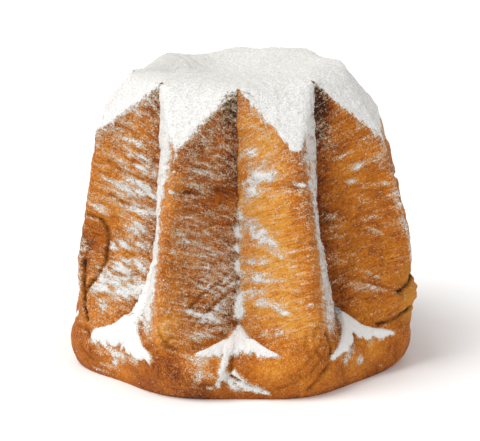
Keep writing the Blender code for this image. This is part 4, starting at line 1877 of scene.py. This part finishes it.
    def build(self) -> bpy.types.Object:
        """Builds the bread.

        Returns:
            The piece that stands for the solid.
        """
        shape = bmesh.new()
        self.lay_out(shape)
        self.press(shape)
        self.dust(shape)
        piece = new_piece("dusted_bread", shape, DustedCrust().make())
        self.paint(piece)
        return piece


@dataclass
class SugarClumps:
    """Loose clumps of sugar, at true size, that lie on the crust where the sugar is thick or frayed."""

    bread: Bread
    count: int = 3600
    batch: int = 60
    smallest: float = 0.2 * MM
    largest: float = 0.6 * MM
    # How far a clump's middle stands above the crust, as a share of its radius
    proud: float = 0.25
    seed: int = 7

    def choose(self, dice: random.Random) -> list[int]:
        """Picks the vertices of the bread that carry a clump, more often where the sugar frays.

        Args:
            dice: the seeded source of every random choice.

        Returns:
            Vertex numbers, some of them more than once.
        """
        weight = self.bread.sugar
        frayed = step(0.3, 0.6, weight) * step(1.3, 0.8, weight)
        chances = 0.02 + frayed + 0.12 * step(1.0, 1.3, weight)
        spots = self.bread.spots
        chances *= (spots.zone > Zone.UNDERSIDE) & (spots.height > 3 * MM) & (spots.radius > 5 * MM)
        return dice.choices(range(len(chances)), weights=chances.tolist(), k=self.count)

    def clump(self, shape: bmesh.types.BMesh, index: int, dice: random.Random) -> None:
        """Adds one clump that sits on a vertex of the bread.

        Args:
            shape: the bmesh to add it to.
            index: the number of the vertex.
            dice: the seeded source of every random choice.
        """
        size = mix(self.smallest, self.largest, dice.random() ** 2.5)
        made = bmesh.ops.create_icosphere(shape, subdivisions=1, radius=size)["verts"]
        squeeze = (dice.uniform(0.7, 1.3), dice.uniform(0.7, 1.3), dice.uniform(0.6, 1.0))
        bmesh.ops.scale(shape, vec=squeeze, verts=made)
        seat = self.bread.places[index] + self.bread.normals[index] * size * self.proud
        bmesh.ops.translate(shape, vec=Vector(seat), verts=made)

    def build(self) -> bpy.types.Object:
        """Builds all clumps as one piece, batch by batch, since a small bmesh grows faster.

        Returns:
            The piece.
        """
        dice = random.Random(self.seed)
        chosen = self.choose(dice)
        whole = bmesh.new()
        for start in range(0, self.count, self.batch):
            part = bmesh.new()
            for index in chosen[start:start + self.batch]:
                self.clump(part, index, dice)
            data = bpy.data.meshes.new("batch")
            part.to_mesh(data)
            part.free()
            whole.from_mesh(data)
            bpy.data.meshes.remove(data)
        return new_piece("sugar_clumps", whole, IcingSugar().make())


# ---------------------------------------------------------------------------------------------------
# The studio
# ---------------------------------------------------------------------------------------------------


@dataclass(frozen=True)
class Sun:
    """A wide soft light from one direction, like a large softbox far away."""

    name: str
    azimuth: float
    elevation: float
    spread: float
    strength: float
    colour: tuple[float, float, float] = (1.0, 1.0, 1.0)

    def build(self) -> bpy.types.Object:
        """Builds the light. Its azimuth is a turn, in degrees from the front.

        Returns:
            The light.
        """
        data = bpy.data.lights.new(self.name, "SUN")
        data.angle = math.radians(self.spread)
        data.energy = self.strength
        data.color = self.colour
        light = bpy.data.objects.new(self.name, data)
        turn, rise = math.radians(self.azimuth), math.radians(self.elevation)
        out = math.cos(rise)
        source = Vector((math.sin(turn) * out, -math.cos(turn) * out, math.sin(rise)))
        light.location = source
        light.rotation_euler = (-source).to_track_quat("-Z", "Y").to_euler()
        bpy.context.scene.collection.objects.link(light)
        return light


@dataclass
class Studio:
    """A white sweep, soft light from the front left, and the camera."""

    floor_width: float = 8.0
    camera_place: tuple[float, float, float] = (0.0, -1.3, 0.457)
    camera_fall: float = math.radians(16.05)
    lens: float = 158.6
    sky: float = 0.61
    suns: tuple[Sun, ...] = (
        Sun("key", -65, 57, 40, 2.15, (1.0, 0.985, 0.965)),
    )

    def build(self) -> None:
        """Builds the floor, the sky, the lights and the camera."""
        shape = bmesh.new()
        bmesh.ops.create_grid(shape, x_segments=8, y_segments=8, size=self.floor_width / 2)
        data = bpy.data.meshes.new("floor")
        shape.to_mesh(data)
        shape.free()
        floor = bpy.data.objects.new("floor", data)
        floor.data.materials.append(StudioSweep().make())
        bpy.context.scene.collection.objects.link(floor)
        for sun in self.suns:
            sun.build()
        self.light_sky()
        self.place_camera()
        log.info("studio: floor, %d lights and camera", len(self.suns))

    def light_sky(self) -> None:
        """Gives the world an even white light, and keeps whites from being graded."""
        world = bpy.data.worlds.new("white_sky")
        world.use_nodes = True
        world.node_tree.nodes["Background"].inputs["Color"].default_value = (1.0, 1.0, 1.0, 1.0)
        world.node_tree.nodes["Background"].inputs["Strength"].default_value = self.sky
        bpy.context.scene.world = world
        bpy.context.scene.view_settings.view_transform = "Standard"

    def place_camera(self) -> None:
        """Places the camera and makes it the scene's."""
        data = bpy.data.cameras.new("camera")
        data.sensor_width = 36.0
        data.lens = self.lens
        camera = bpy.data.objects.new("camera", data)
        camera.location = self.camera_place
        camera.rotation_euler = (math.pi / 2 - self.camera_fall, 0.0, 0.0)
        bpy.context.scene.collection.objects.link(camera)
        bpy.context.scene.camera = camera


def main() -> None:
    """Builds the studio, the bread and its loose sugar."""
    logging.basicConfig(level=logging.INFO)
    Studio().build()
    bread = Bread()
    bread.build()
    SugarClumps(bread).build()


if __name__ == "__main__":
    main()
